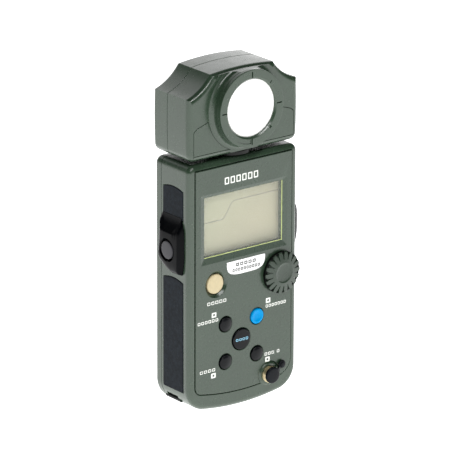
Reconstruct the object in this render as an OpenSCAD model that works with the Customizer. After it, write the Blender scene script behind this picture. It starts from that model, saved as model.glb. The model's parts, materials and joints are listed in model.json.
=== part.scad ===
// Handheld light meter with a swivel receptor head, a display, front keys, a jog dial and side buttons.
// Millimetres, +Z up, front towards -Y. The origin is under the middle of the foot, on the head's swivel axis.

/* [Body] */
// Width of the body
body_w = 69; // [66:0.5:72]
// Height of the body, foot to top
body_h = 132; // [130:0.5:134]
// Depth of the body, front face to back face
body_d = 28.4; // [28:0.1:29]
// Depth of the front shell, front face to parting line
parting_t = 22.5; // [22:0.1:23]
// Radius of the arched foot
foot_r = 140; // [120:5:200]
// Radius of the two lower corners
lower_corner_r = 12.5; // [10:0.5:14]
// Wall thickness of the shells
wall = 2; // [1.8:0.1:2.2]
// Height of the raised back pad above the back face
back_pad_h = 3.2; // [3:0.1:3.4]

/* [Head] */
// Width of the head
head_w = 68.4; // [66:0.2:69]
// Height of the head's lower face above the foot
head_z = 134; // [133.8:0.1:135]
// Depth of the head, front face to back face
head_d = 30; // [29:0.2:31]
// Depth of the head's front shell
head_parting_t = 17.6; // [16:0.2:19]
// Height of the receptor's centre
eye_z = 157.8; // [157:0.1:158]
// Radius of the receptor ring
ring_r = 19.9; // [19:0.1:20]
// Radius of the visible diffuser
eye_r = 14.7; // [13:0.1:15]
// How far the receptor ring stands ahead of the front face
ring_out = 6.4; // [6:0.1:6.6]

/* [Controls] */
// Half the width of the display opening
window_x = 25.4; // [24:0.1:26]
// Lower edge of the display opening
window_z0 = 82.4; // [82:0.1:84]
// Upper edge of the display opening
window_z1 = 114.6; // [112:0.1:116]
// Place of the jog dial from the centre line
dial_x = 23; // [22:0.1:23.4]
// Height of the jog dial's centre
dial_z = 66.4; // [66:0.1:67]
// Radius of the jog dial
dial_r = 11; // [10:0.1:11.2]
// Radius of the four small round keys
key_r = 3.8; // [3.4:0.1:4]
// Radius of the menu key
menu_r = 5.5; // [5:0.1:5.7]
// Radius of the power key
power_r = 5.2; // [5:0.1:5.4]
// Distance of the small keys from the menu key, across and up
key_pitch = 10; // [9.8:0.1:10.2]
// Travel of the front keys
key_travel = 0.8; // [0.4:0.1:0.8]
// How far each side button housing stands out of the body's side
housing_out = 4.5; // [4:0.1:4.6]
// Radius of the side buttons
side_button_r = 4.7; // [4.4:0.1:4.8]

/* [Interfaces] */
// Radius of the tripod socket's bore, for a quarter-inch screw
tripod_r = 3.175; // [3.1:0.025:3.2]
// Depth of the tripod socket's bore
tripod_l = 7; // [6:0.5:7.5]
// Radius of the sync terminal's barrel
sync_r = 4.4; // [4.2:0.1:4.5]

/* [Hidden] */
$fn = 96;

// Depth: t counts inwards from the body's front face
half_depth = (ring_out + body_d + back_pad_h) / 2;
front_y = ring_out - half_depth;
function depth(t) = front_y + t;
back_t = body_d + back_pad_h;

// Fits and gaps
seam = 0.25;
slack = 0.1;
edge_r = 3;
edge_steps = 4;
top_corner_r = 4;
tongue_h = 1.1;

// Front wall and the parts behind it
panel_out = 0.4;
panel_in = 1.5;
front_wall_t = 3.1;
panel_x = 30.4;
panel_z = 8.6;
panel_corner_r = 4;
board_t = 9;
board_h = 1.6;
board_x = 29;
board_z0 = 23;
board_z1 = 118;

// Keys: place [x, z] of each
key_centre = [-1.6, 35.7];
power_at = [-17.5, 68];
preset_at = key_centre + [-key_pitch, key_pitch];
display_at = key_centre + [key_pitch, key_pitch];
mode_at = key_centre + [-key_pitch, -key_pitch];
set_at = key_centre + [key_pitch, -key_pitch];
key_gap = 0.35;
power_well_r = 6.2;
flange_r = 0.9;
flange_t = 3.3;
flange_h = 0.8;
stem_r = 1.4;
switch_t = 6.4;
stem_end_t = switch_t - key_travel - slack;

// Sync terminal and the strap of its cap
sync_at = [16.4, 12.9];
sync_boss_r = 5.7;
sync_boss_out = 0.6;
sync_out = 2.8;
cap_r = 4.25;
cap_out = 4.2;
peg_at = [24, 16.6];
peg_r = 0.9;

// Sides: pads and button housings, in depth t and height z
side_x = body_w / 2;
pad_t0 = 4.6;
pad_t1 = 20.8;
pad_rise = 1.5;
pad_out = 0.2;
pad_in = 1;
lower_pad_z = [12.4, 70.3];
upper_pad_z = [103.2, 118];
housing_t = 12.8;
housing_z = 89.6;
housing_half_h = 15;
button_t = 13.3;
button_z = 86.7;
side_button_out = 3.7;
side_stem_r = 2;
side_stem_l = 3.9;
side_travel = 0.9;

// Back: battery bay, cover, tripod socket
back_pad_x = 24;
back_pad_z0 = 7;
back_pad_z1 = 104;
back_pad_r = 6;
cover_x = 20;
cover_z0 = 11;
cover_z1 = 73;
cover_h = 1.6;
cover_pivot_r = 0.6;
cover_pivot_l = 1;
bay_x = 17.2;
bay_z0 = 12.8;
bay_z1 = 71;
battery_r = 7.1;
battery_x = 7.6;
battery_t = 22.6;
battery_z0 = 17;
battery_l = 50.2;
tripod_z = 90;
tripod_flange_r = 6;
post_x = 28.4;
post_z = [19, 124];
post_r = 2.8;
screw_r = 1.1;
screw_head_r = 2.1;

// Strap slot at the lower left corner
slot_t0 = 11.5;
slot_t1 = 20.3;
slot_x = -27.2;
slot_z = 8.6;
bar_at = [-30.9, 6.2];
bar_r = 1.2;

// Swivel
neck_r = 11.5;
spindle_r = 7;
spindle_bore_r = 4;
bushing_r = 9.2;
bushing_z0 = 126;
clip_z = 123.4;
stop_r = 9.6;
stop_pin_r = 0.9;
stop_groove_h = 1;
stop_lug_half = 38.5;
stop_lug_angle = 315;

// Head
arch_r = 148;
arch_top = 178;
shoulder_r = 28;
shoulder_at = [42.4, 192.95];
head_corner_r = 4;
boss_r = 20;
boss_out = 4.3;
boss_flare = 2.4;
cover_top_z = 151;
head_screw_at = [27, 143];
sensor_t = 9.6;

function arc(c, r, a0, a1, n, i0 = 0, trim = 0) =
    [for (i = [i0 : n - trim]) let (a = a0 + (a1 - a0) * i / n) c + r * [cos(a), sin(a)]];

// Front outline of the body, inset by d, anticlockwise
function body_outline(d) =
    let (cx = body_w / 2 - lower_corner_r)
    let (tilt = asin(cx / (foot_r - lower_corner_r)))
    let (cz = foot_r - (foot_r - lower_corner_r) * cos(tilt))
    let (tx = body_w / 2 - top_corner_r)
    let (tz = body_h - top_corner_r)
    concat(arc([0, foot_r], foot_r - d, 270 - tilt, 270 + tilt, 12, 1, 1),
        arc([cx, cz], lower_corner_r - d, 270 + tilt, 360, 8),
        arc([tx, tz], top_corner_r - d, 0, 90, 4),
        arc([-tx, tz], top_corner_r - d, 90, 180, 4),
        arc([-cx, cz], lower_corner_r - d, 180, 270 - tilt, 8));

// Front outline of the head, inset by d: a shallow arch between two hollow shoulders
function head_outline(d) =
    let (w = head_w / 2 - d)
    let (r = shoulder_r + d)
    let (low = head_corner_r - d)
    let (arch_c = [0, arch_top - arch_r])
    let (line = arch_c - shoulder_at)
    let (span = norm(line))
    let (swing = acos((r * r + span * span - (arch_r - d) * (arch_r - d)) / (2 * r * span)))
    let (a_top = 360 + atan2(line[1], line[0]) - swing)
    let (a_low = 180 + acos((shoulder_at[0] - w) / r))
    let (right = arc(shoulder_at, r, a_low, a_top, 8))
    let (left = [for (i = [8 : -1 : 0]) [-right[i][0], right[i][1]]])
    let (a_arch = atan2(right[8][1] - arch_c[1], right[8][0]))
    concat(arc([-w + low, head_z + d + low], low, 180, 270, 4),
        arc([w - low, head_z + d + low], low, 270, 360, 4),
        right,
        arc(arch_c, arch_r - d, a_arch, 180 - a_arch, 12, 1, 1),
        left);

// Solid through a list of [y, outline] sections that have the same number of points
module loft(sections) {
    n = len(sections[0][1]);
    m = len(sections);
    points = [for (s = sections) for (p = s[1]) [p[0], s[0], p[1]]];
    front_cap = [for (i = [n - 1 : -1 : 0]) i];
    back_cap = [for (i = [0 : n - 1]) (m - 1) * n + i];
    sides = [for (k = [0 : m - 2]) for (i = [0 : n - 1])
        let (j = (i + 1) % n) [k * n + i, k * n + j, (k + 1) * n + j, (k + 1) * n + i]];
    polyhedron(points, concat([front_cap, back_cap], sides));
}

// Plate between depths t0 and t1, drawn in x and z
module slab(t0, t1) {
    translate([0, depth(t1), 0]) rotate([90, 0, 0]) linear_extrude(t1 - t0) children();
}

// Round bar along the depth
module bar_y(at, r, t0, t1) {
    translate([at[0], depth(t0), at[1]]) rotate([-90, 0, 0]) cylinder(r = r, h = t1 - t0);
}

// Round bar across the body at depth t and height z
module bar_x(t, z, r, x0, x1) {
    translate([x0, depth(t), z]) rotate([0, 90, 0]) cylinder(r = r, h = x1 - x0);
}

// Box between two corners, given as [x, t, z]
module box(low, high) {
    translate([low[0], depth(low[1]), low[2]]) cube(high - low);
}

module rounded_plate(x, z0, z1, r, t0, t1) {
    slab(t0, t1) polygon(concat(arc([x - r, z0 + r], r, 270, 360, 6), arc([x - r, z1 - r], r, 0, 90, 6),
        arc([r - x, z1 - r], r, 90, 180, 6), arc([r - x, z0 + r], r, 180, 270, 6)));
}

// Outline of a grip pad on the side, in t and z, with an arched top
function pad_outline(z, gap) =
    let (half = (pad_t1 - pad_t0) / 2)
    let (r = (half * half + pad_rise * pad_rise) / (2 * pad_rise))
    let (swing = asin(half / r))
    let (c = [(pad_t0 + pad_t1) / 2, z[1] + pad_rise - r])
    concat([[pad_t1 + gap, z[0] - gap], [pad_t0 - gap, z[0] - gap]],
        [for (i = [0 : 8]) let (a = 90 + swing - 2 * swing * i / 8) c + (r + gap) * [cos(a), sin(a)]]);

// Plate on the left side between two depths measured outwards from the side, drawn in t and z
module side_plate(out0, out1) {
    translate([-side_x - out1, depth(0), 0]) rotate([90, 0, 90]) linear_extrude(out1 - out0) children();
}

module pad(z, in, out, gap = 0) {
    side_plate(-in, out) polygon(pad_outline(z, gap));
}

// Outline of a side button housing, in t and z: bowed front edge, straight back edge, rounded below
function housing_outline(d) =
    let (r = 70 - d)
    let (front = arc([housing_t - 9.7 + 70, housing_z], r, 168, 192, 8))
    let (low = arc([housing_t + 2.2, housing_z - housing_half_h + 7.2], 7.2 - d, 255, 360, 8))
    let (top = arc([housing_t + 6.4, housing_z + housing_half_h - 4.2], 3 - d / 2, 0, 80, 4))
    concat(front, low, top);

// Fascia outline: straight sides, an arched lower edge, full height
function panel_outline(gap) =
    let (x = panel_x + gap)
    let (r = foot_r - panel_z + gap)
    let (k = panel_corner_r + gap)
    let (tilt = asin((x - k) / (r - k)))
    let (cz = foot_r - (r - k) * cos(tilt))
    concat(arc([0, foot_r], r, 270 - tilt, 270 + tilt, 12, 1, 1), arc([x - k, cz], k, 270 + tilt, 360, 6),
        [[x, body_h - edge_r + gap], [-x, body_h - edge_r + gap]], arc([k - x, cz], k, 180, 270 - tilt, 6));

module key_holes(t0, t1, grow) {
    for (at = [preset_at, display_at, mode_at, set_at]) bar_y(at, key_r + grow, t0, t1);
    bar_y(key_centre, menu_r + grow, t0, t1);
    bar_y(power_at, power_r + grow, t0, t1);
}

module window_hole(t0, t1, grow) {
    box([-window_x - grow, t0, window_z0 - grow], [window_x + grow, t1, window_z1 + grow]);
}

module body_front_shell() {
    rim = [for (k = [0 : edge_steps]) let (a = 90 * k / edge_steps)
        [depth(edge_r * (1 - cos(a))), body_outline(edge_r * (1 - sin(a)))]];
    color("darkolivegreen") difference() {
        union() {
            difference() {
                loft(concat(rim, [[depth(parting_t - seam / 2), body_outline(0)]]));
                slab(front_wall_t, parting_t + 1) polygon(body_outline(wall));
            }
            for (x = [-post_x, post_x]) for (z = post_z) bar_y([x, z], post_r, front_wall_t - 0.1, parting_t - 1);
            bar_y(sync_at, sync_boss_r, -sync_boss_out, 1);
            intersection() {
                box([-side_x, slot_t0 - 1.6, 0], [slot_x + 1.6, parting_t - seam / 2, slot_z + 1.6]);
                slab(0, parting_t) polygon(body_outline(1));
            }
        }
        difference() {
            slab(-1, panel_in + 0.05) polygon(panel_outline(seam));
            bar_y(sync_at, sync_boss_r, -2, 3);
        }
        key_holes(-1, 5, key_gap);
        bar_y(power_at, power_well_r, -1, 2.4);
        window_hole(-1, 5, -0.6);
        window_hole(-1, 2.75, 0.5);
        bar_y([dial_x, dial_z], 3.4, -1, 5);
        bar_y(sync_at, 3.6, -2, 5);
        bar_y(peg_at, peg_r, -1, 5);
        for (side = [0, 1]) mirror([side, 0, 0]) {
            pad(upper_pad_z, pad_in, 1, 0.15);
            pad(lower_pad_z, pad_in, 1, 0.15);
            bar_x(button_t, button_z, side_stem_r + 0.4, -side_x - 1, -side_x + wall + 1);
        }
        translate([0, 0, body_h - wall - 1]) cylinder(r = spindle_r + slack, h = wall + 2);
        translate([-stop_r, 0, body_h - wall - 1]) cylinder(r = stop_pin_r, h = wall + 2);
        for (x = [-post_x, post_x]) for (z = post_z) bar_y([x, z], screw_r, 8, parting_t);
        box([-side_x - 1, slot_t0, -1], [slot_x, slot_t1, slot_z]);
        bar_y(bar_at, bar_r, slot_t0 - 1.2, parting_t);
    }
}

module body_rear_shell() {
    rim = [for (k = [edge_steps : -1 : 0]) let (a = 90 * k / edge_steps)
        [depth(body_d - edge_r * (1 - cos(a))), body_outline(edge_r * (1 - sin(a)))]];
    color("darkolivegreen") difference() {
        union() {
            difference() {
                loft(concat([[depth(parting_t + seam / 2), body_outline(0)]], rim));
                slab(parting_t - 1, body_d - wall) polygon(body_outline(wall));
            }
            difference() {
                union() {
                    slab(parting_t - 2, parting_t + 2) polygon(body_outline(wall + slack));
                    slab(parting_t + 0.4, parting_t + 1.6) polygon(body_outline(wall / 2));
                }
                slab(parting_t - 3, parting_t + 3) polygon(body_outline(wall + tongue_h));
                box([-side_x, 0, -1], [slot_x + 2.2, body_d, slot_z + 2.2]);
                for (x = [-post_x, post_x]) for (z = post_z) bar_y([x, z], post_r + 0.2, 0, body_d);
                translate([0, 0, bushing_z0 - 1]) cylinder(r = bushing_r + 0.2, h = 10);
            }
            rounded_plate(back_pad_x, back_pad_z0, back_pad_z1, back_pad_r, body_d - 1, back_t);
            bar_y([0, tripod_z], tripod_flange_r + 2, 22, body_d);
            for (x = [-post_x, post_x]) for (z = post_z) bar_y([x, z], post_r, parting_t, body_d - 1);
        }
        rounded_plate(back_pad_x - wall, back_pad_z0 + wall, tripod_z - 10, back_pad_r - wall, 20, body_d);
        rounded_plate(cover_x + 0.15, cover_z0 + 10, cover_z1 + 0.15, 1.4, back_t - cover_h - 0.1, back_t + 1);
        box([-cover_x - 0.15, back_t - cover_h - 0.1, cover_z0 - 0.15], [cover_x + 0.15, back_t + 1, cover_z0 + 20]);
        bar_x(back_t - cover_h / 2, cover_z0 + cover_h / 2, cover_pivot_r + 0.05,
            -cover_x - cover_pivot_l - slack, cover_x + cover_pivot_l + slack);
        box([-bay_x, 15, bay_z0], [bay_x, back_t + 1, bay_z1]);
        bar_y([0, tripod_z], tripod_flange_r, 20, back_t + 1);
        for (x = [-post_x, post_x]) for (z = post_z) {
            bar_y([x, z], screw_r + 0.2, 20, body_d + 1);
            bar_y([x, z], screw_head_r + 0.1, body_d - 2.4, body_d + 1);
        }
    }
}

module front_panel() {
    color("darkolivegreen") difference() {
        slab(-panel_out, panel_in) polygon(panel_outline(0));
        key_holes(-1, 5, key_gap);
        bar_y(power_at, power_well_r, -1, 3);
        window_hole(-1, 5, 0);
        bar_y([dial_x, dial_z], 3.4, -1, 5);
        bar_y(sync_at, sync_boss_r + seam, -2, 5);
        bar_y(peg_at, peg_r, -1, 5);
        badge(-1, 0.35, 0.05);
    }
}

// Blank plate with a straight top and a full, round-cornered lower edge
module badge(t0, t1, gap) {
    half_w = 12.1 + gap;
    h = 7.4 + gap;
    fullness = 0.55;
    slab(t0, t1) polygon([for (i = [0 : 24]) let (a = 180 * i / 24)
        [1.2 - half_w * sign(cos(a)) * pow(abs(cos(a)), fullness), 78 + gap - (h + gap) * pow(sin(a), fullness)]]);
}

module model_badge() {
    color("white") badge(-panel_out - 0.1, 0.3, 0);
}

module display_window() {
    color("lightgray", 0.5) window_hole(1.2, 2.7, -0.1);
}

module lcd_frame() {
    color("black") difference() {
        box([-28, 3.2, 80], [28, 7.6, 118]);
        window_hole(3, 4.1, -0.2);
        box([-26.2, 4, 82], [26.2, 8, 116]);
    }
}

module lcd_panel() {
    color("darkkhaki") union() {
        box([-26, 4.2, 82.2], [26, 5.2, 115.8]);
        box([-26, 5.2, 83.6], [26, 6.2, 114.4]);
    }
}

module lcd_light_guide() {
    color("lightyellow") box([-25.8, 6.4, 84], [25.8, 7.5, 114]);
}

module lcd_connectors() {
    color("dimgray") for (z = [82.2, 114.8]) box([-24, 5.4, z], [24, board_t - 0.05, z + 1]);
}

module main_board() {
    color("seagreen") difference() {
        box([-board_x, board_t, board_z0], [board_x, board_t + board_h, board_z1]);
        for (z = [board_z0 + 7, board_z1 - 4]) for (x = [-board_x + 3, board_x - 3]) bar_y([x, z], 1.2, 8, 12);
    }
}

// Chips on the back of the board: processor, memory, converter, and the crystal and sounder
module board_components() {
    chip_t = board_t + board_h + 0.02;
    color("dimgray") {
        box([-10, chip_t, 96], [4, chip_t + 1.4, 110]);
        box([9, chip_t, 98], [19, chip_t + 1.2, 105]);
        box([-22, chip_t, 84], [-13, chip_t + 1.1, 90]);
        box([12, chip_t, 82], [17, chip_t + 1.6, 85]);
        for (x = [-24 : 4 : -16]) box([x, chip_t, 76], [x + 1.6, chip_t + 0.9, 77]);
        bar_y([22, 112], 4, chip_t, chip_t + 2.4);
    }
}

module key_switches() {
    color("silver") for (at = [power_at, preset_at, key_centre, display_at, mode_at, set_at]) {
        box([at[0] - 3, switch_t + 0.6, at[1] - 3], [at[0] + 3, board_t - 0.02, at[1] + 3]);
        bar_y(at, 1.6, switch_t, switch_t + 0.7);
    }
}

module jog_encoder() {
    color("gray") difference() {
        union() {
            box([dial_x - 6, 3.3, dial_z - 6], [dial_x + 6, board_t - 0.02, dial_z + 6]);
            bar_y([dial_x, dial_z], 3.3, 0.3, 4);
        }
        bar_y([dial_x, dial_z], 2.05, -1, 8.4);
    }
}

module grip_pad(z) {
    color("darkslategray") pad(z, pad_in, pad_out);
}

module grip_pad_left_upper() {
    grip_pad(upper_pad_z);
}

module grip_pad_left_lower() {
    grip_pad(lower_pad_z);
}

module grip_pad_right_upper() {
    mirror([1, 0, 0]) grip_pad(upper_pad_z);
}

module grip_pad_right_lower() {
    mirror([1, 0, 0]) grip_pad(lower_pad_z);
}

// Button housing on the left side: a lens-shaped boss with a thumb scoop above the button
module button_housing() {
    color("black") difference() {
        union() {
            side_plate(0.25, 2) polygon(housing_outline(0));
            side_plate(2, 3.4) polygon(housing_outline(0.8));
            side_plate(3.4, housing_out) polygon(housing_outline(2));
        }
        bar_x(button_t, button_z, side_button_r + 0.35, -side_x - 6, -side_x + 1);
        translate([-side_x - 13.2, depth(housing_t + 1.5), 101]) rotate([-90, 0, 0]) cylinder(r = 12, h = 14, center = true);
    }
}

module measure_button_housing() {
    button_housing();
}

module memory_button_housing() {
    mirror([1, 0, 0]) button_housing();
}

module side_button() {
    color("dimgray") union() {
        bar_x(button_t, button_z, side_button_r, -side_x - side_button_out, -side_x - 1);
        bar_x(button_t, button_z, side_stem_r, -side_x - 2, -side_x + side_stem_l);
    }
}

module measure_button() {
    side_button();
}

module memory_button() {
    mirror([1, 0, 0]) side_button();
}

module side_switches() {
    switch_x = -side_x + side_stem_l + side_travel + slack;
    color("silver") for (side = [0, 1]) mirror([side, 0, 0])
        box([switch_x, board_t + board_h + 0.02, button_z - 3], [switch_x + 4, button_t + 3, button_z + 3]);
}

module sync_terminal() {
    color("gold") difference() {
        union() {
            bar_y(sync_at, sync_r, -sync_out, -sync_boss_out);
            bar_y(sync_at, 3.5, -sync_boss_out - 0.1, 7);
        }
        bar_y(sync_at, 2.6, -sync_out - 1, 8);
    }
}

module sync_insulator() {
    color("white") difference() {
        bar_y(sync_at, 2.55, 1.5, 7.6);
        bar_y(sync_at, 0.75, 0, 9);
    }
}

module sync_centre_pin() {
    color("gold") bar_y(sync_at, 0.7, -1, 9);
}

module sync_cap() {
    color("black") difference() {
        union() {
            bar_y(sync_at, cap_r, -cap_out, -sync_out - 0.05);
            bar_y(sync_at, 2.5, -sync_out - 0.1, 0.8);
        }
        bar_y(sync_at, 1.2, -2, 2);
    }
}

// Flat strap from the cap to a ring around the peg
module sync_cap_strap() {
    across = peg_at - sync_at;
    reach = norm(across);
    aim = atan2(across[1], across[0]);
    color("black") difference() {
        union() {
            translate([sync_at[0], depth(-1.7), sync_at[1]]) rotate([0, -aim, 0])
                translate([sync_r + 0.3, 0, -0.8]) cube([reach - sync_r - peg_r - 0.6, 1, 1.6]);
            bar_y(peg_at, peg_r + 1.1, -1.7, -0.7);
        }
        bar_y(peg_at, peg_r + slack, -3, 1);
    }
}

module strap_peg() {
    color("black") union() {
        bar_y(peg_at, peg_r, -2.1, front_wall_t + 0.6);
        bar_y(peg_at, peg_r + 0.5, -2.3, -1.8);
    }
}

module battery_tray() {
    tray = wall * 0.6;
    color("dimgray") difference() {
        box([-bay_x + 0.2, 14.2, bay_z0 + 0.2], [bay_x - 0.2, back_t - cover_h - 1.6, bay_z1 - 0.2]);
        box([-bay_x + tray, 14.2 + tray, bay_z0 + tray], [bay_x - tray, back_t, bay_z1 - tray]);
    }
}

module batteries() {
    color("orange") for (side = [-1, 1]) translate([side * battery_x, depth(battery_t), battery_z0]) {
        cylinder(r = battery_r, h = battery_l - 1);
        translate([0, 0, side > 0 ? battery_l - 1.1 : -1]) cylinder(r = 2.7, h = 1.1);
    }
}

// Conical coil springs, drawn as stacked rings
module battery_springs() {
    color("silver") for (side = [-1, 1]) for (k = [0 : 2])
        translate([side * battery_x, depth(battery_t), side > 0 ? bay_z0 + 2.4 + k * 0.55 : bay_z1 - 3.9 + k * 0.55])
            rotate_extrude() translate([side > 0 ? 4.6 - k : 2.6 + k, 0]) circle(r = 0.35);
}

module battery_contacts() {
    plate_x = bay_x - 2;
    color("silver") {
        box([-plate_x, 16.5, bay_z0 + 1.3], [plate_x, 27, bay_z0 + 1.7]);
        for (side = [-1, 1])
            box([side > 0 ? 1 : -plate_x, 16.5, bay_z1 - 1.7], [side > 0 ? plate_x : -1, 27, bay_z1 - 1.3]);
    }
}

// Cover over the battery bay: it turns on two stub pivots at its lower edge and has grip ribs at its top
module battery_cover() {
    half = cover_h / 2;
    color("darkolivegreen") difference() {
        union() {
            rounded_plate(cover_x, cover_z0 + 10, cover_z1, 1.2, back_t - cover_h, back_t);
            box([-cover_x, back_t - cover_h, cover_z0 + half], [cover_x, back_t, cover_z0 + 20]);
            bar_x(back_t - half, cover_z0 + half, half, -cover_x, cover_x);
            bar_x(back_t - half, cover_z0 + half, cover_pivot_r, -cover_x - cover_pivot_l, cover_x + cover_pivot_l);
        }
        for (k = [0 : 3]) box([-6, back_t - 0.5, cover_z1 - 9 + k * 1.6], [6, back_t + 1, cover_z1 - 8.2 + k * 1.6]);
    }
}

module tripod_socket() {
    color("silver") difference() {
        union() {
            bar_y([0, tripod_z], tripod_flange_r - 0.02, back_t - 7, back_t);
            bar_y([0, tripod_z], tripod_flange_r - 1, back_t - 9, back_t - 6);
        }
        bar_y([0, tripod_z], tripod_r, back_t - tripod_l, back_t + 1);
    }
}

module strap_bar() {
    color("silver") bar_y(bar_at, bar_r - 0.02, slot_t0 - 1.1, parting_t - 0.4);
}

module case_screws() {
    color("silver") for (x = [-post_x, post_x]) for (z = post_z) {
        bar_y([x, z], screw_r - 0.02, 9, body_d - 2);
        difference() {
            bar_y([x, z], screw_head_r, body_d - 2.38, body_d - 0.6);
            box([x - 1.2, body_d - 1.3, z - 0.25], [x + 1.2, body_d, z + 0.25]);
            box([x - 0.25, body_d - 1.3, z - 1.2], [x + 0.25, body_d, z + 1.2]);
        }
    }
}

module neck_bushing() {
    color("ivory") translate([0, 0, bushing_z0]) difference() {
        cylinder(r = bushing_r, h = body_h - wall - bushing_z0 - 0.02);
        translate([0, 0, -1]) cylinder(r = spindle_r + 0.06, h = 10);
    }
}

// Pin in the body's top wall that stands in the groove of the head's collar
module swivel_stop_pin() {
    color("silver") translate([-stop_r, 0, body_h - wall + 0.02])
        cylinder(r = stop_pin_r - 0.02, h = wall + stop_groove_h);
}

// Round key: a domed cap, a flange behind the front wall and a stem over its switch
module key(at, r, out, fall = 0.5) {
    union() {
        bar_y(at, r, -out + fall, front_wall_t + 0.3);
        translate([at[0], depth(fall - out), at[1]]) rotate([90, 0, 0]) cylinder(r1 = r, r2 = r - fall, h = fall);
        bar_y(at, r + flange_r, flange_t, flange_t + flange_h);
        bar_y(at, stem_r, flange_t, stem_end_t);
    }
}

module power_button() {
    color("wheat") key(power_at, power_r, 1);
}

module menu_button() {
    color("black") key(key_centre, menu_r, 1.2);
}

module preset_button() {
    color("black") key(preset_at, key_r, 1.5, 1);
}

module display_button() {
    color("deepskyblue") key(display_at, key_r + 0.2, 1.3);
}

module mode_button() {
    color("black") key(mode_at, key_r, 1.5, 1);
}

module set_button() {
    color("black") key(set_at, key_r, 1.5, 1);
}

// Jog dial with a scalloped rim and a raised, dished centre, on a shaft in the encoder
module jog_dial() {
    lobes = 18;
    dish_r = 20;
    dish_depth = 0.6;
    scallop_r = 0.9;
    color("darkolivegreen") difference() {
        union() {
            bar_y([dial_x, dial_z], dial_r, -3, -panel_out - 0.25);
            translate([dial_x, depth(-3), dial_z]) rotate([90, 0, 0]) cylinder(r1 = dial_r - 0.6, r2 = 5.4, h = 1.1);
            bar_y([dial_x, dial_z], 2, -2, 8);
        }
        translate([dial_x, depth(-4.1 + dish_depth - dish_r), dial_z]) sphere(r = dish_r);
        for (k = [0 : lobes - 1]) let (a = 360 * (k + 0.5) / lobes)
            bar_y([dial_x, dial_z] + (dial_r + 0.25) * [cos(a), sin(a)], scallop_r, -5, 1);
    }
}

module head_front_shell() {
    rim = [for (k = [0 : edge_steps]) let (a = 90 * k / edge_steps)
        [depth(edge_r * (1 - cos(a))), head_outline(edge_r * (1 - sin(a)))]];
    color("darkolivegreen") difference() {
        union() {
            difference() {
                loft(concat(rim, [[depth(head_parting_t - seam / 2), head_outline(0)]]));
                slab(front_wall_t, head_parting_t + 1) polygon(head_outline(wall));
            }
            bar_y([0, eye_z], boss_r, -boss_out, 1);
            intersection() {
                translate([0, depth(0), eye_z]) rotate([90, 0, 0])
                    cylinder(r1 = boss_r + boss_flare, r2 = boss_r, h = 1.2);
                slab(-2, 1) polygon(head_outline(edge_r - 1));
            }
            for (x = [-head_screw_at[0], head_screw_at[0]])
                bar_y([x, head_screw_at[1]], post_r, front_wall_t - 0.1, head_parting_t - 0.5);
        }
        bar_y([0, eye_z], eye_r + 0.7, -ring_out, 5);
        difference() {
            slab(-1, 1.25) polygon(cheek_outline(seam));
            bar_y([0, eye_z], boss_r + boss_flare + 0.1, -2, 3);
        }
        translate([0, 0, head_z - 1]) cylinder(r = spindle_r + 0.02, h = 4);
        for (x = [-head_screw_at[0], head_screw_at[0]]) bar_y([x, head_screw_at[1]], screw_r, 8, head_parting_t);
    }
}

// Outline of the head's lower front covers, before the receptor boss parts them into two cheeks
function cheek_outline(gap) =
    let (x = 31.3 + gap)
    let (top = cover_top_z + gap)
    [[-x, head_z + edge_r - gap], [x, head_z + edge_r - gap], [x, top - 2], [x - 2, top], [x - 9, top + 2],
        [9 - x, top + 2], [2 - x, top], [-x, top - 2]];

module head_cheek_covers() {
    color("darkolivegreen") difference() {
        slab(0, 1.2) polygon(cheek_outline(0));
        bar_y([0, eye_z], boss_r + boss_flare + 0.3, -2, 3);
    }
}

module head_rear_shell() {
    color("darkolivegreen") difference() {
        union() {
            difference() {
                union() {
                    slab(head_parting_t + seam / 2, head_d - edge_r) polygon(head_outline(0));
                    for (k = [1 : edge_steps]) let (a = 90 * (k - 0.5) / edge_steps)
                        slab(head_d - edge_r - 0.5, head_d - edge_r * (1 - sin(90 * k / edge_steps)))
                            polygon(head_outline(edge_r * (1 - cos(a))));
                }
                slab(head_parting_t - 1, head_d - wall) polygon(head_outline(wall));
            }
            difference() {
                union() {
                    slab(head_parting_t - 2, head_parting_t + 2) polygon(head_outline(wall + slack));
                    slab(head_parting_t + 0.4, head_parting_t + 1.6) polygon(head_outline(wall / 2));
                }
                slab(head_parting_t - 3, head_parting_t + 3) polygon(head_outline(wall + tongue_h));
                translate([0, 0, head_z]) cylinder(r = neck_r, h = 6);
            }
            for (x = [-head_screw_at[0], head_screw_at[0]])
                bar_y([x, head_screw_at[1]], post_r, head_parting_t, head_d - 1);
        }
        translate([0, 0, head_z - 1]) cylinder(r = spindle_r + 0.02, h = 4);
        for (x = [-head_screw_at[0], head_screw_at[0]]) {
            bar_y([x, head_screw_at[1]], screw_r + 0.2, 10, head_d + 1);
            bar_y([x, head_screw_at[1]], screw_head_r + 0.1, head_d - 2.4, head_d + 1);
        }
    }
}

// Receptor ring with four long and two short engraved marks and a raised arc
module receptor_ring() {
    color("darkolivegreen") difference() {
        bar_y([0, eye_z], ring_r, -ring_out, -boss_out - 0.02);
        bar_y([0, eye_z], eye_r, -ring_out - 1, 0);
        bar_y([0, eye_z], eye_r + 0.7, -ring_out + 1.5, 0);
        for (a = [0 : 90 : 270]) ring_mark(a, 0.2, eye_r + 0.6, ring_r - 0.8);
        for (a = [45, 135]) ring_mark(a, 0.3, eye_r + 0.6, eye_r + 2.2);
    }
}

module ring_mark(angle, half_w, r0, r1) {
    translate([0, depth(-ring_out), eye_z]) rotate([0, -angle, 0]) translate([r0, -1, -half_w])
        cube([r1 - r0, 1.35, 2 * half_w]);
}

module diffuser_disc() {
    color("white") bar_y([0, eye_z], eye_r + 0.65, -ring_out + 1.52, -ring_out + 3);
}

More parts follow.
